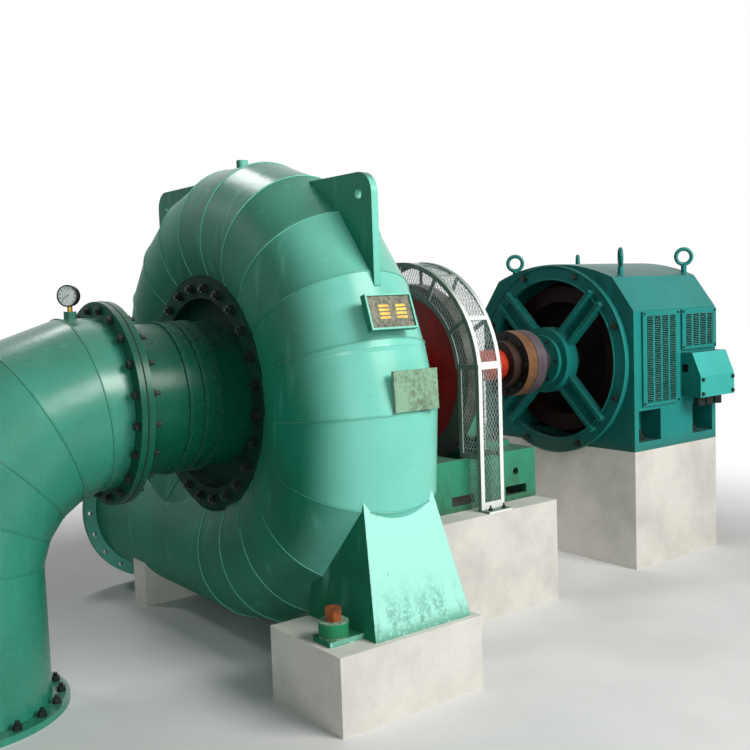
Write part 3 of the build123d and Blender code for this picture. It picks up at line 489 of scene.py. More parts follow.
def ring_faces(rings, count):
    """Faces between neighbouring rings of points, counted ring by ring."""
    faces = []
    for ring in range(rings - 1):
        for step in range(count):
            low, high = ring * count, (ring + 1) * count
            after = (step + 1) % count
            faces.append((low + step, low + after, high + after, high + step))
    return faces


def plain_piece(name, points, faces, finish, crease=25):
    """A piece of the standing set, from its points and faces, sharp where it turns by more than a crease."""
    mesh = bpy.data.meshes.new(name)
    mesh.from_pydata(points, [], faces)
    mesh.materials.append(finish)
    mesh.polygons.foreach_set("use_smooth", [True] * len(faces))
    mesh.set_sharp_from_angle(angle=math.radians(crease))
    piece = bpy.data.objects.new(name, mesh)
    bpy.context.scene.collection.objects.link(piece)
    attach(piece, "housing")
    return piece


swell_rings = [seam_ring(seam) for seam in range(max(drawn_out) + 1, min(drawn_out) - 2, -1)]
swell_points = [point for ring in swell_rings for point in ring]
swell_faces = ring_faces(len(swell_rings), len(swell_rings[0]))
plain_piece("casing_swell", swell_points, swell_faces, casing_green, crease=8)

# Elbow seams and draft gasket: like beads run round the mitres of the elbow, under its own enamel,
# and a ring of black rubber shows between the draft flanges, squeezed out a little by their bolts.
across_shaft = Vector((0, 1, 0))
flange_thickness = extent("draft_cone_flange")[1].x
elbow_low, elbow_high = extent("draft_elbow")
elbow_radius = elbow_high.z
elbow_bend = -elbow_low.x - flange_thickness - elbow_radius
elbow_seams = 5
half_mitre = math.pi / 4 / elbow_seams
corner_reach = elbow_bend / math.cos(half_mitre)
bend_middles = [at(-flange_thickness, 0, 0)]
for seam in range(elbow_seams):
    turn = (2 * seam + 1) * half_mitre
    fall = corner_reach * math.cos(turn) - elbow_bend
    bend_middles.append(at(-flange_thickness - corner_reach * math.sin(turn), 0, fall))
bend_middles.append(at(-flange_thickness - elbow_bend, 0, -2 * elbow_bend))
elbow_rings = [
    mitre(*bend_middles[seam:seam + 3], elbow_radius + bead_lift, across_shaft)
    for seam in range(elbow_seams)
]
rods("elbow_welds", elbow_rings, "casing_enamel", elbow_green, bead_radius, closed=True)


def mottled(name, colour, worn, rough, metallic, grain=14.0, gleam=0.4):
    """Finish of uneven tone and fine pits, for bare metal, rubber, varnish and flat paint."""
    finish, hand = new_finish(name)
    spot = hand.node("ShaderNodeTexCoord", output="Object")
    patches = spot.noise(grain, 5.0, 0.65)
    pits = spot.noise(160.0, 3.0)
    close_finish(hand, {
        "Base Color": patches.between(0.35, 0.7).blend(colour, worn),
        "Roughness": patches.span(rough - 0.1, rough + 0.12),
        "Metallic": metallic,
        "Normal": pits.bump(0.15, 0.002),
        "Specular IOR Level": gleam,
    })
    return finish


def circle(station, radius, count, shift=0.0):
    """Points round the shaft at one station, the first shifted by a share of their spacing."""
    turns = [2 * math.pi * (index + shift) / count for index in range(count)]
    return [at(station, radius * math.cos(turn), radius * math.sin(turn)) for turn in turns]


flange_radius = extent("draft_cone_flange")[1].y
gasket_radius = 0.0045
gasket_inset = 0.002
rubber = mottled("gasket_rubber", tone(0.05, 0.07, 0.06), tone(0.10, 0.13, 0.11), 0.7, 0.0)
gasket_ring = circle(0, flange_radius - gasket_inset, 96)
rods("draft_gasket", [gasket_ring], "gauge_black", rubber, gasket_radius, closed=True)


# Fasteners: steel nuts with washers on studs, round the flanges and covers of the water side,
# dark with old paint and grease.


def instanced(shape, inputs):
    """Set a shape on every seed point, turned as the point says, and end the tree."""
    turn = shape.node("GeometryNodeInputNamedAttribute", {"Name": "turn"}, data_type="FLOAT_VECTOR")
    turned = shape.node("FunctionNodeEulerToRotation", {0: turn})
    sockets = {"Points": inputs["Seed"], "Instance": shape, "Rotation": turned}
    return close_tree(shape.node("GeometryNodeInstanceOnPoints", sockets), inputs["Finish"])


def drum(sides, radius, depth, lift):
    """Upright cylinder standing at a height, for a geometry tree."""
    made = radius.node("GeometryNodeMeshCylinder", {"Vertices": sides, "Radius": radius, "Depth": depth})
    rise = radius.node("ShaderNodeCombineXYZ", {"Z": lift + depth * 0.5})
    return made.node("GeometryNodeTransform", {"Geometry": made, "Translation": rise})


inputs = tree_inputs(
    "nuts_on_studs",
    "Nut Radius", "Nut Height", "Washer Radius", "Washer Height", "Stud Radius", "Stud Length",
)
washer = drum(18, inputs["Washer Radius"], inputs["Washer Height"], inputs["Washer Height"] * 0)
nut = drum(6, inputs["Nut Radius"], inputs["Nut Height"], inputs["Washer Height"])
stud = drum(10, inputs["Stud Radius"], inputs["Stud Length"], inputs["Stud Length"] * 0)
nuts_on_studs = instanced(washer.node("GeometryNodeJoinGeometry", {0: [washer, nut, stud]}), inputs)


def spots(name, places, turn):
    """Seed mesh of points that are all turned the same way, or each in its own."""
    seed = bpy.data.meshes.new(name)
    seed.from_pydata(places, [], [])
    turns = seed.attributes.new("turn", "FLOAT_VECTOR", "POINT")
    for index, mark in enumerate(turns.data):
        mark.vector = turn[index] if isinstance(turn, list) else turn
    return seed


def facing_turn(along, out):
    """Turn that lays a piece's length along one way and lifts its top another."""
    return Vector(Matrix((along, out.cross(along), out)).transposed().to_euler())


dark_steel = mottled("dark_steel", tone(0.08, 0.12, 0.11), tone(0.18, 0.24, 0.21), 0.45, 0.3)
m30 = dict(nut_radius=0.027, nut_height=0.025, washer_radius=0.030, washer_height=0.005, stud_radius=0.015)
m24 = dict(nut_radius=0.022, nut_height=0.020, washer_radius=0.024, washer_height=0.004, stud_radius=0.012)
m20 = dict(nut_radius=0.0175, nut_height=0.018, washer_radius=0.019, washer_height=0.003, stud_radius=0.009)
m12 = dict(nut_radius=0.011, nut_height=0.009, washer_radius=0.012, washer_height=0.002, stud_radius=0.005)
toward_draft = Vector((-1, 0, 0))
toward_generator = Vector((1, 0, 0))
toward_viewer = Vector((0, -1, 0))
upward = Vector((0, 0, 1))


def nuts(name, places, aim, sizes, stud_length, finish=dark_steel, slot="bright_steel"):
    """A group of like nuts on one face."""
    seed = spots(name, places, facing_turn(aim.orthogonal().normalized(), aim))
    return grown(name, nuts_on_studs, seed, slot, finish, stud_length=stud_length, **sizes)


flange_bolts = 20
flange_circle = 0.406
elbow_joint = circle(-flange_thickness, flange_circle, flange_bolts, 0.5)
cone_joint = circle(flange_thickness, flange_circle, flange_bolts, 0.5)
nuts("elbow_flange_nuts", elbow_joint, toward_draft, m20, stud_length=0.026)
nuts("cone_flange_nuts", cone_joint, toward_generator, m20, stud_length=0.042)
cover_bolts = 24
cover_circle = 0.487
cover_flange = 0.030
seal_bolts = 6
seal_circle = 0.128
rear_cover_low, rear_cover_high = extent("rear_cover")
front_joint = circle(extent("front_cover")[0].x, cover_circle, cover_bolts, 0.5)
rear_joint = circle(rear_cover_low.x + cover_flange, cover_circle, cover_bolts, 0.5)
seal_joint = circle(rear_cover_high.x, seal_circle, seal_bolts)
nuts("front_cover_nuts", front_joint, toward_draft, m24, stud_length=0.036)
nuts("rear_cover_nuts", rear_joint, toward_generator, m24, stud_length=0.036)
nuts("seal_housing_nuts", seal_joint, toward_generator, m20, stud_length=0.024)
outlet_low, outlet_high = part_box("elbow_outlet_flange")
outlet_middle = (outlet_low + outlet_high) / 2
outlet_middle.z = outlet_high.z
outlet_joint = oval(outlet_middle, along_shaft * flange_circle, across_shaft * flange_circle, flange_bolts)
nuts("outlet_flange_nuts", outlet_joint, upward, m20, stud_length=0.034)

# Saddle foot: a tapered box of plate on its concrete pad, its face painted pale mint where it turns to the
# windows as a stand-in for the light on it, its flanks deep green, dirty and chipped near the sole, and held
# down by a rusty nut on a round boss.
sole_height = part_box("saddle_foot")[0].z
# Painted light: the near-white mint is laid on faces toward the windows, here and a little on the boss.
saddle_green = enamel(
    "saddle_green", coat=tone(0.06, 0.46, 0.35), deep=tone(0.03, 0.38, 0.28),
    lit_and_faded=tone(0.68, 0.95, 0.89), bare=tone(0.14, 0.40, 0.32), rough=0.35, painted_light=1.1, dust=0.2,
    dirt=0.65, dirt_low=sole_height, dirt_top=sole_height + 0.26, grime=tone(0.12, 0.46, 0.30),
)
boss_green = enamel(
    "boss_green", coat=tone(0.10, 0.50, 0.34), deep=tone(0.07, 0.42, 0.28),
    lit_and_faded=tone(0.20, 0.62, 0.42), bare=tone(0.86, 0.84, 0.72), rough=0.5, edge=0.012, painted_light=0.3, dust=1.0,
    dirt=0.5, dirt_low=sole_height, dirt_top=sole_height + 0.1,
)
rusty_steel = mottled("rusty_steel", tone(0.62, 0.33, 0.14), tone(0.34, 0.19, 0.11), 0.75, 0.1, 40.0)
dress(saddle_green, "saddle_foot")
dress(boss_green, "anchor_boss")
dress(rusty_steel, "anchor_nut")


# Foundation: plain blocks of pale trowelled concrete under the saddle, the base frame and the generator,
# and a cradle under the inlet pipe.


def cast_concrete(name, colour, stain):
    """Trowelled concrete with fine grit, faint stains and small pores."""
    stone, mix = new_finish(name)
    spot = mix.node("ShaderNodeTexCoord", output="Object")
    stains = spot.noise(3.0, 6.0, 0.62)
    grit = spot.noise(90.0, 4.0)
    pores = mix.node("ShaderNodeTexVoronoi", {"Vector": spot, "Scale": 45.0}, output="Distance")
    shade = stains.between(0.35, 0.75).blend(colour, stain).tinted(stain, grit.between(0.5, 0.75) * 0.35)
    height = grit * 0.4 + pores.between(0.0, 0.16)
    close_finish(mix, {
        "Base Color": shade,
        "Roughness": stains.span(0.8, 0.95),
        "Normal": height.bump(0.35, 0.004),
    })
    return stone


pad_concrete = cast_concrete("pad_concrete", tone(0.90, 0.89, 0.86), tone(0.80, 0.79, 0.76))
dress(pad_concrete, "saddle_plinth", "base_plinth", "generator_plinth", "inlet_cradle")

# Name plate and data plate: a dull brown plate with raised brass bars in two columns, held in its tray,
# and below it a pale folded plate whose paint is flecked and smudged.
inputs = tree_inputs("flat_bars", "Length", "Width", "Thickness")
size = inputs["Length"].node("ShaderNodeCombineXYZ", {
    "X": inputs["Length"], "Y": inputs["Width"], "Z": inputs["Thickness"],
})
flat_bars = instanced(size.node("GeometryNodeMeshCube", {"Size": size}), inputs)


def strips(name, places, turn, slot, finish, **sizes):
    """Flat bars of one length, width and thickness, as one piece."""
    return grown(name, flat_bars, spots(name, places, turn), slot, finish, **sizes)


plate_brown = mottled("plate_brown", tone(0.46, 0.47, 0.40), tone(0.26, 0.27, 0.22), 0.5, 0.2, 60.0)
brass = mottled("brass", tone(0.86, 0.70, 0.28), tone(0.66, 0.50, 0.20), 0.4, 0.3)
dress(plate_brown, "nameplate")
plate_lean = math.radians(71.2)
plate_half = 0.003
bar_columns = (-0.032, 0.052)
bar_rows = (-0.024, -0.008, 0.008, 0.024)
plate_out = Vector((0, -math.sin(plate_lean), math.cos(plate_lean)))
plate_up = plate_out.cross(along_shaft)
plate_low, plate_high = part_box("nameplate")
plate_face = (plate_low + plate_high) / 2 + plate_out * plate_half
bar_places = [
    plate_face + along_shaft * column + plate_up * row for column in bar_columns for row in bar_rows
]
strips("nameplate_bars", bar_places, facing_turn(along_shaft, plate_out), "plate_metal", brass,
       length=0.050, width=0.010, thickness=0.0016)
data_paint = enamel(
    "data_paint", coat=tone(0.54, 0.70, 0.59), deep=tone(0.46, 0.62, 0.51),
    lit_and_faded=tone(0.58, 0.74, 0.63), bare=tone(0.22, 0.34, 0.26), rough=0.4, edge=0.005,
    dirt=0.9, dirt_top=datum.z + 2.4,
)
dress(data_paint, "data_plate")

# Pressure gauge: a black pressed case with a rolled bezel, turned toward the walkway on a brass stem
# that screws into a green boss, with a white dial, plain ticks and a needle.
gauge_low, gauge_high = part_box("pressure_gauge")
gauge_middle = (gauge_low + gauge_high) / 2
gauge_radius = (gauge_high.z - gauge_low.z) / 2
gauge_half = (gauge_high.x - gauge_low.x) / 2
bezel_radius = gauge_radius + 0.0025
dial_radius = gauge_radius - 0.003
dial_depth = gauge_half - 0.003
dial_turn = math.radians(45)
dial_out = Vector((-math.cos(dial_turn), -math.sin(dial_turn), 0))
dial_right = upward.cross(dial_out)
dial_count = 40
boss_height = datum.z + 0.402
gauge_black = mottled("gauge_black", tone(0.04, 0.05, 0.06), tone(0.10, 0.11, 0.12), 0.35, 0.0)
dial_white = mottled("dial_white", tone(0.93, 0.95, 0.94), tone(0.82, 0.88, 0.88), 0.4, 0.0)
brass_stem, turner = new_finish("brass_stem")
stem_spot = turner.node("ShaderNodeTexCoord", output="Object")
stem = stem_spot.part("Z").between(boss_height - 0.001, boss_height + 0.001)
stem_shade = stem.blend(tone(0.13, 0.46, 0.37), tone(0.72, 0.56, 0.26))
stem_grease = stem_spot.noise(60.0, 3.0).between(0.5, 0.8) * 0.5
close_finish(turner, {
    "Base Color": stem_shade.tinted(tone(0.30, 0.30, 0.18), stem_grease),
    "Roughness": 0.35,
    "Metallic": stem * 0.7,
})
dress(brass_stem, "gauge_boss")


def dial_ring(depth, radius):
    """Points round the gauge's own axis."""
    return oval(gauge_middle + dial_out * depth, dial_right * radius, upward * radius, dial_count)


case_profile = (
    (-gauge_half, gauge_radius - 0.010),
    (-gauge_half + 0.006, gauge_radius),
    (gauge_half - 0.010, gauge_radius),
    (gauge_half - 0.008, bezel_radius),
    (gauge_half - 0.001, bezel_radius),
    (gauge_half, bezel_radius - 0.002),
    (gauge_half, dial_radius),
    (dial_depth, dial_radius),
)
case_points = [point for depth, radius in case_profile for point in dial_ring(depth, radius)]
case_back = tuple(reversed(range(dial_count)))
case_faces = [case_back] + ring_faces(len(case_profile), dial_count)
case = plain_piece("gauge_case", case_points, case_faces, gauge_black)
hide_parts("pressure_gauge")
dial_face = [tuple(range(dial_count))]
plain_piece("gauge_dial", dial_ring(dial_depth, dial_radius), dial_face, dial_white)
tick_turns = [math.radians(-135 + 30 * step) for step in range(10)]
tick_ways = [upward * math.cos(turn) + dial_right * math.sin(turn) for turn in tick_turns]
tick_places = [gauge_middle + dial_out * (dial_depth + 0.0002) + way * 0.033 for way in tick_ways]
tick_facings = [facing_turn(way, dial_out) for way in tick_ways]
strips("gauge_ticks", tick_places, tick_facings, "gauge_black", gauge_black,
       length=0.009, width=0.002, thickness=0.0008)
needle_way = (upward * -0.5 - dial_right * 0.8).normalized()
needle_place = gauge_middle + dial_out * (dial_depth + 0.001) + needle_way * 0.010
strips("gauge_needle", [needle_place], facing_turn(needle_way, dial_out), "gauge_black", gauge_black,
       length=0.040, width=0.0022, thickness=0.001)

# Base frame and bearing pedestals: green enamel on a welded box and castings, with big nuts on the
# pedestal feet, and nuts on tall bosses that hold the bearing caps down.
base_low, base_high = extent("base_frame")
# Painted light: the paler green goes on faces turned to the windows.
base_green = enamel(
    "base_green", coat=tone(0.12, 0.47, 0.37), deep=tone(0.08, 0.39, 0.31),
    lit_and_faded=tone(0.26, 0.66, 0.52), bare=tone(0.42, 0.54, 0.48), rough=0.35, painted_light=0.6, dust=0.45,
    dirt=0.6, dirt_low=datum.z + base_low.z, dirt_top=datum.z + base_high.z + 0.1,
)
dress(
    base_green, "base_frame", "bearing_pedestal_front", "bearing_pedestal_rear",
    "bearing_cap_front", "bearing_cap_rear",
)
pedestal_ends = [extent("bearing_pedestal_front"), extent("bearing_pedestal_rear")]
pedestals = [(low.x + high.x) / 2 for low, high in pedestal_ends]
foot_thickness = 0.030
boss_top = 0.120
boss_cap = 0.004
boss = dict(
    nut_radius=0.030, nut_height=boss_cap, washer_radius=0.034, washer_height=boss_top - boss_cap,
    stud_radius=0.012,
)


def pedestal_spots(along, side, height):
    """Four bolt places on each pedestal, from how far they lie off its middle."""
    return [
        at(station + end * along, flank * side, height)
        for station in pedestals for end in (-1, 1) for flank in (-1, 1)
    ]


foot_spots = pedestal_spots(0.060, 0.295, base_high.z + foot_thickness)
nuts("pedestal_foot_nuts", foot_spots, upward, m30, stud_length=0.052)
cap_spots = pedestal_spots(0.055, 0.141, 0.0)
cap_tops = [place + upward * boss_top for place in cap_spots]
nuts("bearing_cap_bosses", cap_spots, upward, boss, boss_top, base_green, "base_enamel")
nuts("bearing_cap_nuts", cap_tops, upward, m24, stud_length=0.040)

# Rotating line: orange-red shaft, dark red flywheel with a bare turned rim, and a pin coupling
# of brown and grey iron with near-black faces and hubs, all keyed to turn together.
rim_inner = 0.400
hub_radius = 0.135


def round_shaft(wire):
    """A material's place, and its distance from the shaft axis."""
    spot = wire.node("ShaderNodeTexCoord", output="Object")
    off_axis = wire.node("ShaderNodeVectorMath", {0: spot, 1: tuple(datum)}, operation="SUBTRACT")
    across = wire.node("ShaderNodeVectorMath", {0: off_axis, 1: (0, 1, 1)}, operation="MULTIPLY")
    return spot, wire.node("ShaderNodeVectorMath", {0: across}, output="Value", operation="LENGTH")


def lathe_marks(way, scale):
    """Fine marks of a lathe tool, along the way that it went."""
    sockets = {"W": way, "Scale": scale, "Detail": 2.0}
    return way.node("ShaderNodeTexNoise", sockets, noise_dimensions="1D")


wheel_finish, lathe = new_finish("wheel_finish")
spot, reach = round_shaft(lathe)
turning = lathe_marks(reach, 900.0)
smears = spot.noise(9.0, 5.0, 0.6)
bare_rim = reach.between(rim_inner - 0.001, rim_inner + 0.001)
red_web = smears.between(0.3, 0.7).blend(tone(0.66, 0.10, 0.10), tone(0.50, 0.06, 0.07))
rim_steel = turning.between(0.3, 0.7).blend(tone(0.50, 0.50, 0.48), tone(0.36, 0.36, 0.34))
rim_steel = rim_steel.tinted(tone(0.30, 0.20, 0.14), smears.between(0.5, 0.75) * 0.5)
close_finish(lathe, {
    "Base Color": red_web.tinted(rim_steel, bare_rim),
    "Metallic": bare_rim * 0.8,
    "Roughness": smears.span(0.32, 0.50),
    "Normal": turning.bump(0.2, 0.001),
})
shaft_red = mottled("shaft_red", tone(0.82, 0.26, 0.15), tone(0.66, 0.17, 0.11), 0.4, 0.0)
bright_shaft = mottled("bright_shaft", tone(0.66, 0.66, 0.65), tone(0.50, 0.50, 0.50), 0.3, 0.9)
dress(wheel_finish, "flywheel")
dress(shaft_red, "turbine_shaft")
dress(bright_shaft, "generator_shaft")


def coupling_iron(name, rim, worn, face):
    """Turned iron of a coupling half, darker on its face and hub than round its rim."""
    iron, turner = new_finish(name)
    spot, reach = round_shaft(turner)
    facing = turner.node("ShaderNodeTexCoord", output="Normal").part("X")
    rings = lathe_marks(spot.part("X"), 260.0)
    patches = spot.noise(16.0, 5.0, 0.65)
    shade = (rings * 0.5 + patches * 0.5).between(0.35, 0.65).blend(rim, worn)
    on_hub = 1 - reach.between(hub_radius - 0.001, hub_radius + 0.003)
    shade = shade.tinted(face, (facing * facing).between(0.6, 0.9).larger(on_hub))
    close_finish(turner, {
        "Base Color": shade,
        "Roughness": patches.span(0.40, 0.60),
        "Metallic": 0.3,
        "Normal": rings.bump(0.2, 0.001),
    })
    return iron


black_face = tone(0.07, 0.06, 0.06)
coupling_brown = coupling_iron("coupling_brown", tone(0.58, 0.43, 0.28), tone(0.42, 0.27, 0.19), black_face)
coupling_grey = coupling_iron("coupling_grey", tone(0.46, 0.42, 0.45), tone(0.34, 0.30, 0.33), black_face)
dress(coupling_brown, "coupling_turbine_half")
dress(coupling_grey, "coupling_generator_half")
dress(dark_steel, "coupling_pins")

# Flywheel guard: bent angle-bar arches in grey-green, painted white on the faces toward the windows on the
# walkway side as a stand-in for the light there, filled with diamond mesh of thin wire and bolted down by
# their feet.
# Painted light: the white tone is laid on faces turned to the windows.
guard_paint = enamel(
    "guard_paint", coat=tone(0.44, 0.54, 0.50), deep=tone(0.36, 0.46, 0.42),
    lit_and_faded=tone(0.97, 0.98, 0.97), bare=tone(0.70, 0.76, 0.72), rough=0.4, edge=0.003, painted_light=1.0, dust=0.3,
)
mesh_grey = mottled("mesh_grey", tone(0.70, 0.76, 0.74), tone(0.50, 0.58, 0.55), 0.5, 0.1)
dress(guard_paint, "guard_frame_front", "guard_frame_rear", "guard_rim", "guard_feet")
guard_low, guard_high = extent("guard_frame_front")
guard_front = guard_low.x
guard_back = extent("guard_frame_rear")[1].x
guard_foot = guard_low.z
guard_radius = guard_high.y
guard_inner = 0.430
guard_sheet = 0.005
crossbar_height = 0.045
leg_inner = guard_radius - 0.150
diamond_width = 0.020
diamond_height = 0.038
wire_radius = 0.0013
panel_margin = 0.006
climb = diamond_height / diamond_width


def in_guard(side, height):
    """Whether a point of a guard face lies inside its mesh panels."""
    if height > crossbar_height:
        return guard_inner + panel_margin < math.hypot(side, height) < guard_radius - panel_margin
    inner = leg_inner if height > base_high.z else base_high.y
    return inner + panel_margin < abs(side) < guard_radius - panel_margin


def diamond_lines(station):
    """Both families of strands of the flat mesh at one station, cut to the guard's panels."""
    lines = []
    step_height = diamond_height / 4
    rows = int((guard_radius - guard_foot) / step_height) + 1
    count = int(2 * guard_radius / diamond_width)
    for lean in (-1, 1):
        for index in range(-count, count + 1):
            run = []
            for step in range(rows + 1):
                height = guard_foot + step * step_height
                side = index * diamond_width + lean * height / climb
                if step < rows and in_guard(side, height):
                    run.append((side, height))
                    continue
                if len(run) > 1:
                    lines.append([at(station, *run[0]), at(station, *run[-1])])
                run = []
    return lines


rim_length = math.pi * guard_radius - 2 * guard_foot


def rim_place(along, across):
    """Point on the guard's rim, from its way up one leg, over the crown and down the other."""
    leg = -guard_foot
    radius = guard_radius - guard_sheet - wire_radius
    if along < leg:
        return at(across, -radius, guard_foot + along)
    if along > rim_length - leg:
        return at(across, radius, guard_foot + rim_length - along)
    turn = math.pi * (along - leg) / (rim_length - 2 * leg)
    return at(across, -radius * math.cos(turn), radius * math.sin(turn))


def rim_lines():
    """Strands of the mesh round the rim, crossing from one arch to the other."""
    lines = []
    width = guard_back - guard_front - 2 * guard_sheet
    steps = 12
    for lean in (-1, 1):
        first = -int(width * climb / diamond_height) - 1
        for index in range(first, int(rim_length / diamond_height) + 1):
            run = []
            for step in range(steps + 1):
                part = step / steps if lean > 0 else 1 - step / steps
                along = index * diamond_height + step / steps * width * climb
                if 0 <= along <= rim_length:
                    run.append(rim_place(along, guard_front + guard_sheet + part * width))
            if len(run) > 1:
                lines.append(run)
    return lines


mesh_panels = {
    "front": diamond_lines(guard_front + guard_sheet + wire_radius),
    "rear": diamond_lines(guard_back - guard_sheet - wire_radius),
    "rim": rim_lines(),
}
for name, lines in mesh_panels.items():
    rods(f"guard_mesh_{name}", lines, "guard_enamel", mesh_grey, wire_radius, sides=4.0)
foot_bolt_side = 0.620
foot_bolt_inset = 0.033
foot_stations = (guard_front + foot_bolt_inset, guard_back - foot_bolt_inset)
foot_bolts = [at(station, side * foot_bolt_side, guard_foot) for station in foot_stations for side in (-1, 1)]
nuts("guard_foot_nuts", foot_bolts, upward, m12, stud_length=0.024)

# Generator: teal enamel on a bow-roofed sheet-steel frame, with ribbed end shields bolted to its ends,
# dark iron and varnished coils inside, and holding-down nuts in foot pockets lined with sheet.
generator_low, generator_high = extent("generator_frame")
generator_sole = datum.z + generator_low.z
# Painted light: the lighter teal is laid on faces toward the windows, for the light on the near flank.
generator_teal = enamel(
    "generator_teal", coat=tone(0.02, 0.42, 0.39), deep=tone(0.02, 0.34, 0.32),
    lit_and_faded=tone(0.14, 0.59, 0.57), bare=tone(0.42, 0.68, 0.62), rough=0.36, edge=0.005, painted_light=0.8,
    dirt=0.35, dirt_low=generator_sole, dirt_top=generator_sole + 0.12,
)
inner_black = mottled("inner_black", tone(0.05, 0.05, 0.05), tone(0.09, 0.08, 0.08), 0.7, 0.0, gleam=0.06)
coil_varnish = mottled("coil_varnish", tone(0.14, 0.07, 0.06), tone(0.08, 0.05, 0.05), 0.5, 0.0, 50.0, 0.1)
dress(
    generator_teal, "generator_frame", "end_shield_front", "end_shield_rear", "lifting_eyes",
    "bearing_cover_front", "bearing_cover_rear", "vent_panel_near_tall", "vent_panel_near_short",
    "vent_panel_far_tall", "vent_panel_far_short",
)
dress(inner_black, "stator_core", "generator_rotor")
dress(coil_varnish, "winding_ends")
dress(dark_steel, "cable_glands")
shield_flange = 0.026
shield_bolts = 8
shield_circle = 0.531
lip_radii = (0.482, 0.560)
lip_thickness = 0.006
cover_screws = 6
cover_screw_circle = 0.126
shield_ends = {
    "front": (generator_low.x - shield_flange, extent("bearing_cover_front")[0].x, toward_draft),
    "rear": (generator_high.x + shield_flange, extent("bearing_cover_rear")[1].x, toward_generator),
}
for name, (flange_face, cover_face, aim) in shield_ends.items():
    flange_joint = circle(flange_face, shield_circle, shield_bolts, 0.5)
    cover_joint = circle(cover_face, cover_screw_circle, cover_screws)
    nuts(f"shield_bolts_{name}", flange_joint, aim, m20, stud_length=0.020)
    nuts(f"bearing_cover_bolts_{name}", cover_joint, aim, m12, stud_length=0.013)
    lips = [circle(flange_face, radius, 120) for radius in lip_radii]
    rods(f"shield_lips_{name}", lips, "generator_enamel", generator_teal, lip_thickness, 8.0, closed=True)
pocket_length = 0.200
pocket_inset = 0.036
pocket_floor = generator_low.z + 0.050
pocket_roof = pocket_floor + 0.180
pocket_back = 0.450
pocket_mouth = generator_high.y - 0.012
liner_sheet = 0.008
holding_side = 0.525
pocket_starts = (generator_low.x + pocket_inset, generator_high.x - pocket_inset - pocket_length)
pocket_depth = (pocket_back, pocket_mouth)
pocket_rise = (pocket_floor, pocket_roof)
liner_points = []
for start in pocket_starts:
    end = start + pocket_length
    walls = (
        ((start, end), (pocket_back, pocket_back + liner_sheet), pocket_rise),
        ((start, end), pocket_depth, (pocket_roof, pocket_roof + liner_sheet)),
        ((start, end), pocket_depth, (pocket_floor - liner_sheet, pocket_floor)),
        ((start - liner_sheet, start), pocket_depth, pocket_rise),
        ((end, end + liner_sheet), pocket_depth, pocket_rise),
    )
    for side in (-1, 1):
        for stations, depths, heights in walls:
            sides = sorted(side * depth for depth in depths)
            liner_points += [at(x, y, z) for z in heights for y in sides for x in stations]
sheet_faces = ((0, 2, 3, 1), (4, 5, 7, 6), (0, 1, 5, 4), (2, 6, 7, 3), (0, 4, 6, 2), (1, 3, 7, 5))
sheet_starts = range(0, len(liner_points), 8)
liner_faces = [tuple(start + corner for corner in face) for start in sheet_starts for face in sheet_faces]
plain_piece("pocket_liners", liner_points, liner_faces, generator_teal)
holding_spots = [
    at(start + pocket_length / 2, side * holding_side, pocket_floor)
    for start in pocket_starts for side in (-1, 1)
]
nuts("holding_down_nuts", holding_spots, upward, m30, stud_length=0.060)

# Louvres of the ventilation panels: rows of pressed hoods over slots drawn as black strips that stand in for
# the shade inside the openings, in four columns on each panel, with screws at the corners.
inputs = tree_inputs("pressed_hoods", "Length", "Rise", "Reach", "Lean")
prism = inputs["Length"].node("GeometryNodeMeshCylinder", {
    "Vertices": 3, "Radius": 1.0, "Depth": inputs["Length"],
})
laid = prism.node("GeometryNodeTransform", {"Geometry": prism, "Rotation": (0, math.radians(90), 0)})
lean = laid.node("ShaderNodeCombineXYZ", {"X": inputs["Lean"]})
leant = laid.node("GeometryNodeTransform", {"Geometry": laid, "Rotation": lean})
stretch = laid.node("ShaderNodeCombineXYZ", {"X": 1.0, "Y": inputs["Rise"], "Z": inputs["Reach"]})
pressed_hoods = instanced(leant.node("GeometryNodeTransform", {"Geometry": leant, "Scale": stretch}), inputs)

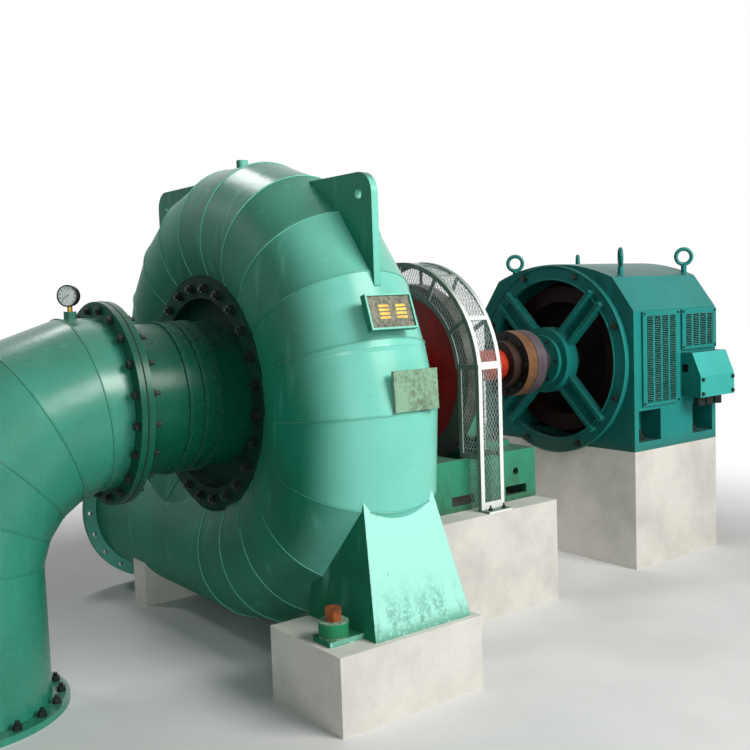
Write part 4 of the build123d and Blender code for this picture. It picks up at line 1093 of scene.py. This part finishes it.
louvre_pitch = 0.0105
louvre_columns = 4
column_pitch = 0.070
slot_length = 0.054
panel_border = 0.026
screw_inset = panel_border / 2
panel_screw = m12 | dict(nut_radius=0.006, nut_height=0.003, washer_radius=0.008)
for side, out, along in (("near", toward_viewer, along_shaft), ("far", -toward_viewer, -along_shaft)):
    hood_places = []
    screw_places = []
    for panel in (f"vent_panel_{side}_tall", f"vent_panel_{side}_short"):
        low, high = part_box(panel)
        face = low.y if side == "near" else high.y
        rows = int((high.z - low.z - 2 * panel_border) / louvre_pitch) + 1
        top = (low.z + high.z) / 2 + (rows - 1) / 2 * louvre_pitch
        middle = (low.x + high.x) / 2
        for column in range(louvre_columns):
            x = middle + (column - (louvre_columns - 1) / 2) * column_pitch
            hood_places += [Vector((x, face, top - row * louvre_pitch)) for row in range(rows)]
        screw_stations = (low.x + screw_inset, high.x - screw_inset)
        screw_heights = (low.z + screw_inset, high.z - screw_inset)
        screw_places += [Vector((x, face, z)) for x in screw_stations for z in screw_heights]
    turn = facing_turn(along, out)
    hood_seed = spots(f"louvre_hoods_{side}", hood_places, turn)
    grown(f"louvre_hoods_{side}", pressed_hoods, hood_seed, "generator_enamel", generator_teal,
          length=slot_length, rise=0.0030, reach=0.0050, lean=math.radians(205))
    # Painted shade: a black strip under each hood takes the place of the dark inside of its slot.
    slot_places = [place - upward * louvre_pitch / 2 for place in hood_places]
    strips(f"louvre_slots_{side}", slot_places, turn, "gauge_black", inner_black,
           length=slot_length, width=0.0050, thickness=0.0012)
    nuts(f"panel_screws_{side}", screw_places, out, panel_screw, stud_length=0.004)

# Terminal box: folded sheet in teal, painted lighter than the frame as a stand-in for the window light on its
# face, with cover screws at the corners of its upright face and a blanked cable entry in its end.
box_teal = enamel(
    "box_teal", coat=tone(0.04, 0.44, 0.41), deep=tone(0.03, 0.38, 0.36),
    lit_and_faded=tone(0.27, 0.75, 0.72), bare=tone(0.42, 0.68, 0.62), rough=0.36, edge=0.004, painted_light=0.9,
)
dress(box_teal, "terminal_box")
# Painted light: the box's paler teal stands for the window light on its face.
cover_inset = 0.020
box_low, box_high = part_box("terminal_box")
knee_height = box_high.z - 0.135
box_stations = (box_low.x + cover_inset, box_high.x - cover_inset)
box_heights = (box_low.z + cover_inset, knee_height - cover_inset)
box_screws = [Vector((x, box_low.y, z)) for x in box_stations for z in box_heights]
nuts("terminal_box_screws", box_screws, toward_viewer, m12, stud_length=0.006)
entry = Vector((box_low.x, box_high.y - 0.032, box_high.z - 0.090))
strips("blanked_entry", [entry], facing_turn(upward, toward_draft), "gauge_black", inner_black,
       length=0.045, width=0.036, thickness=0.003)
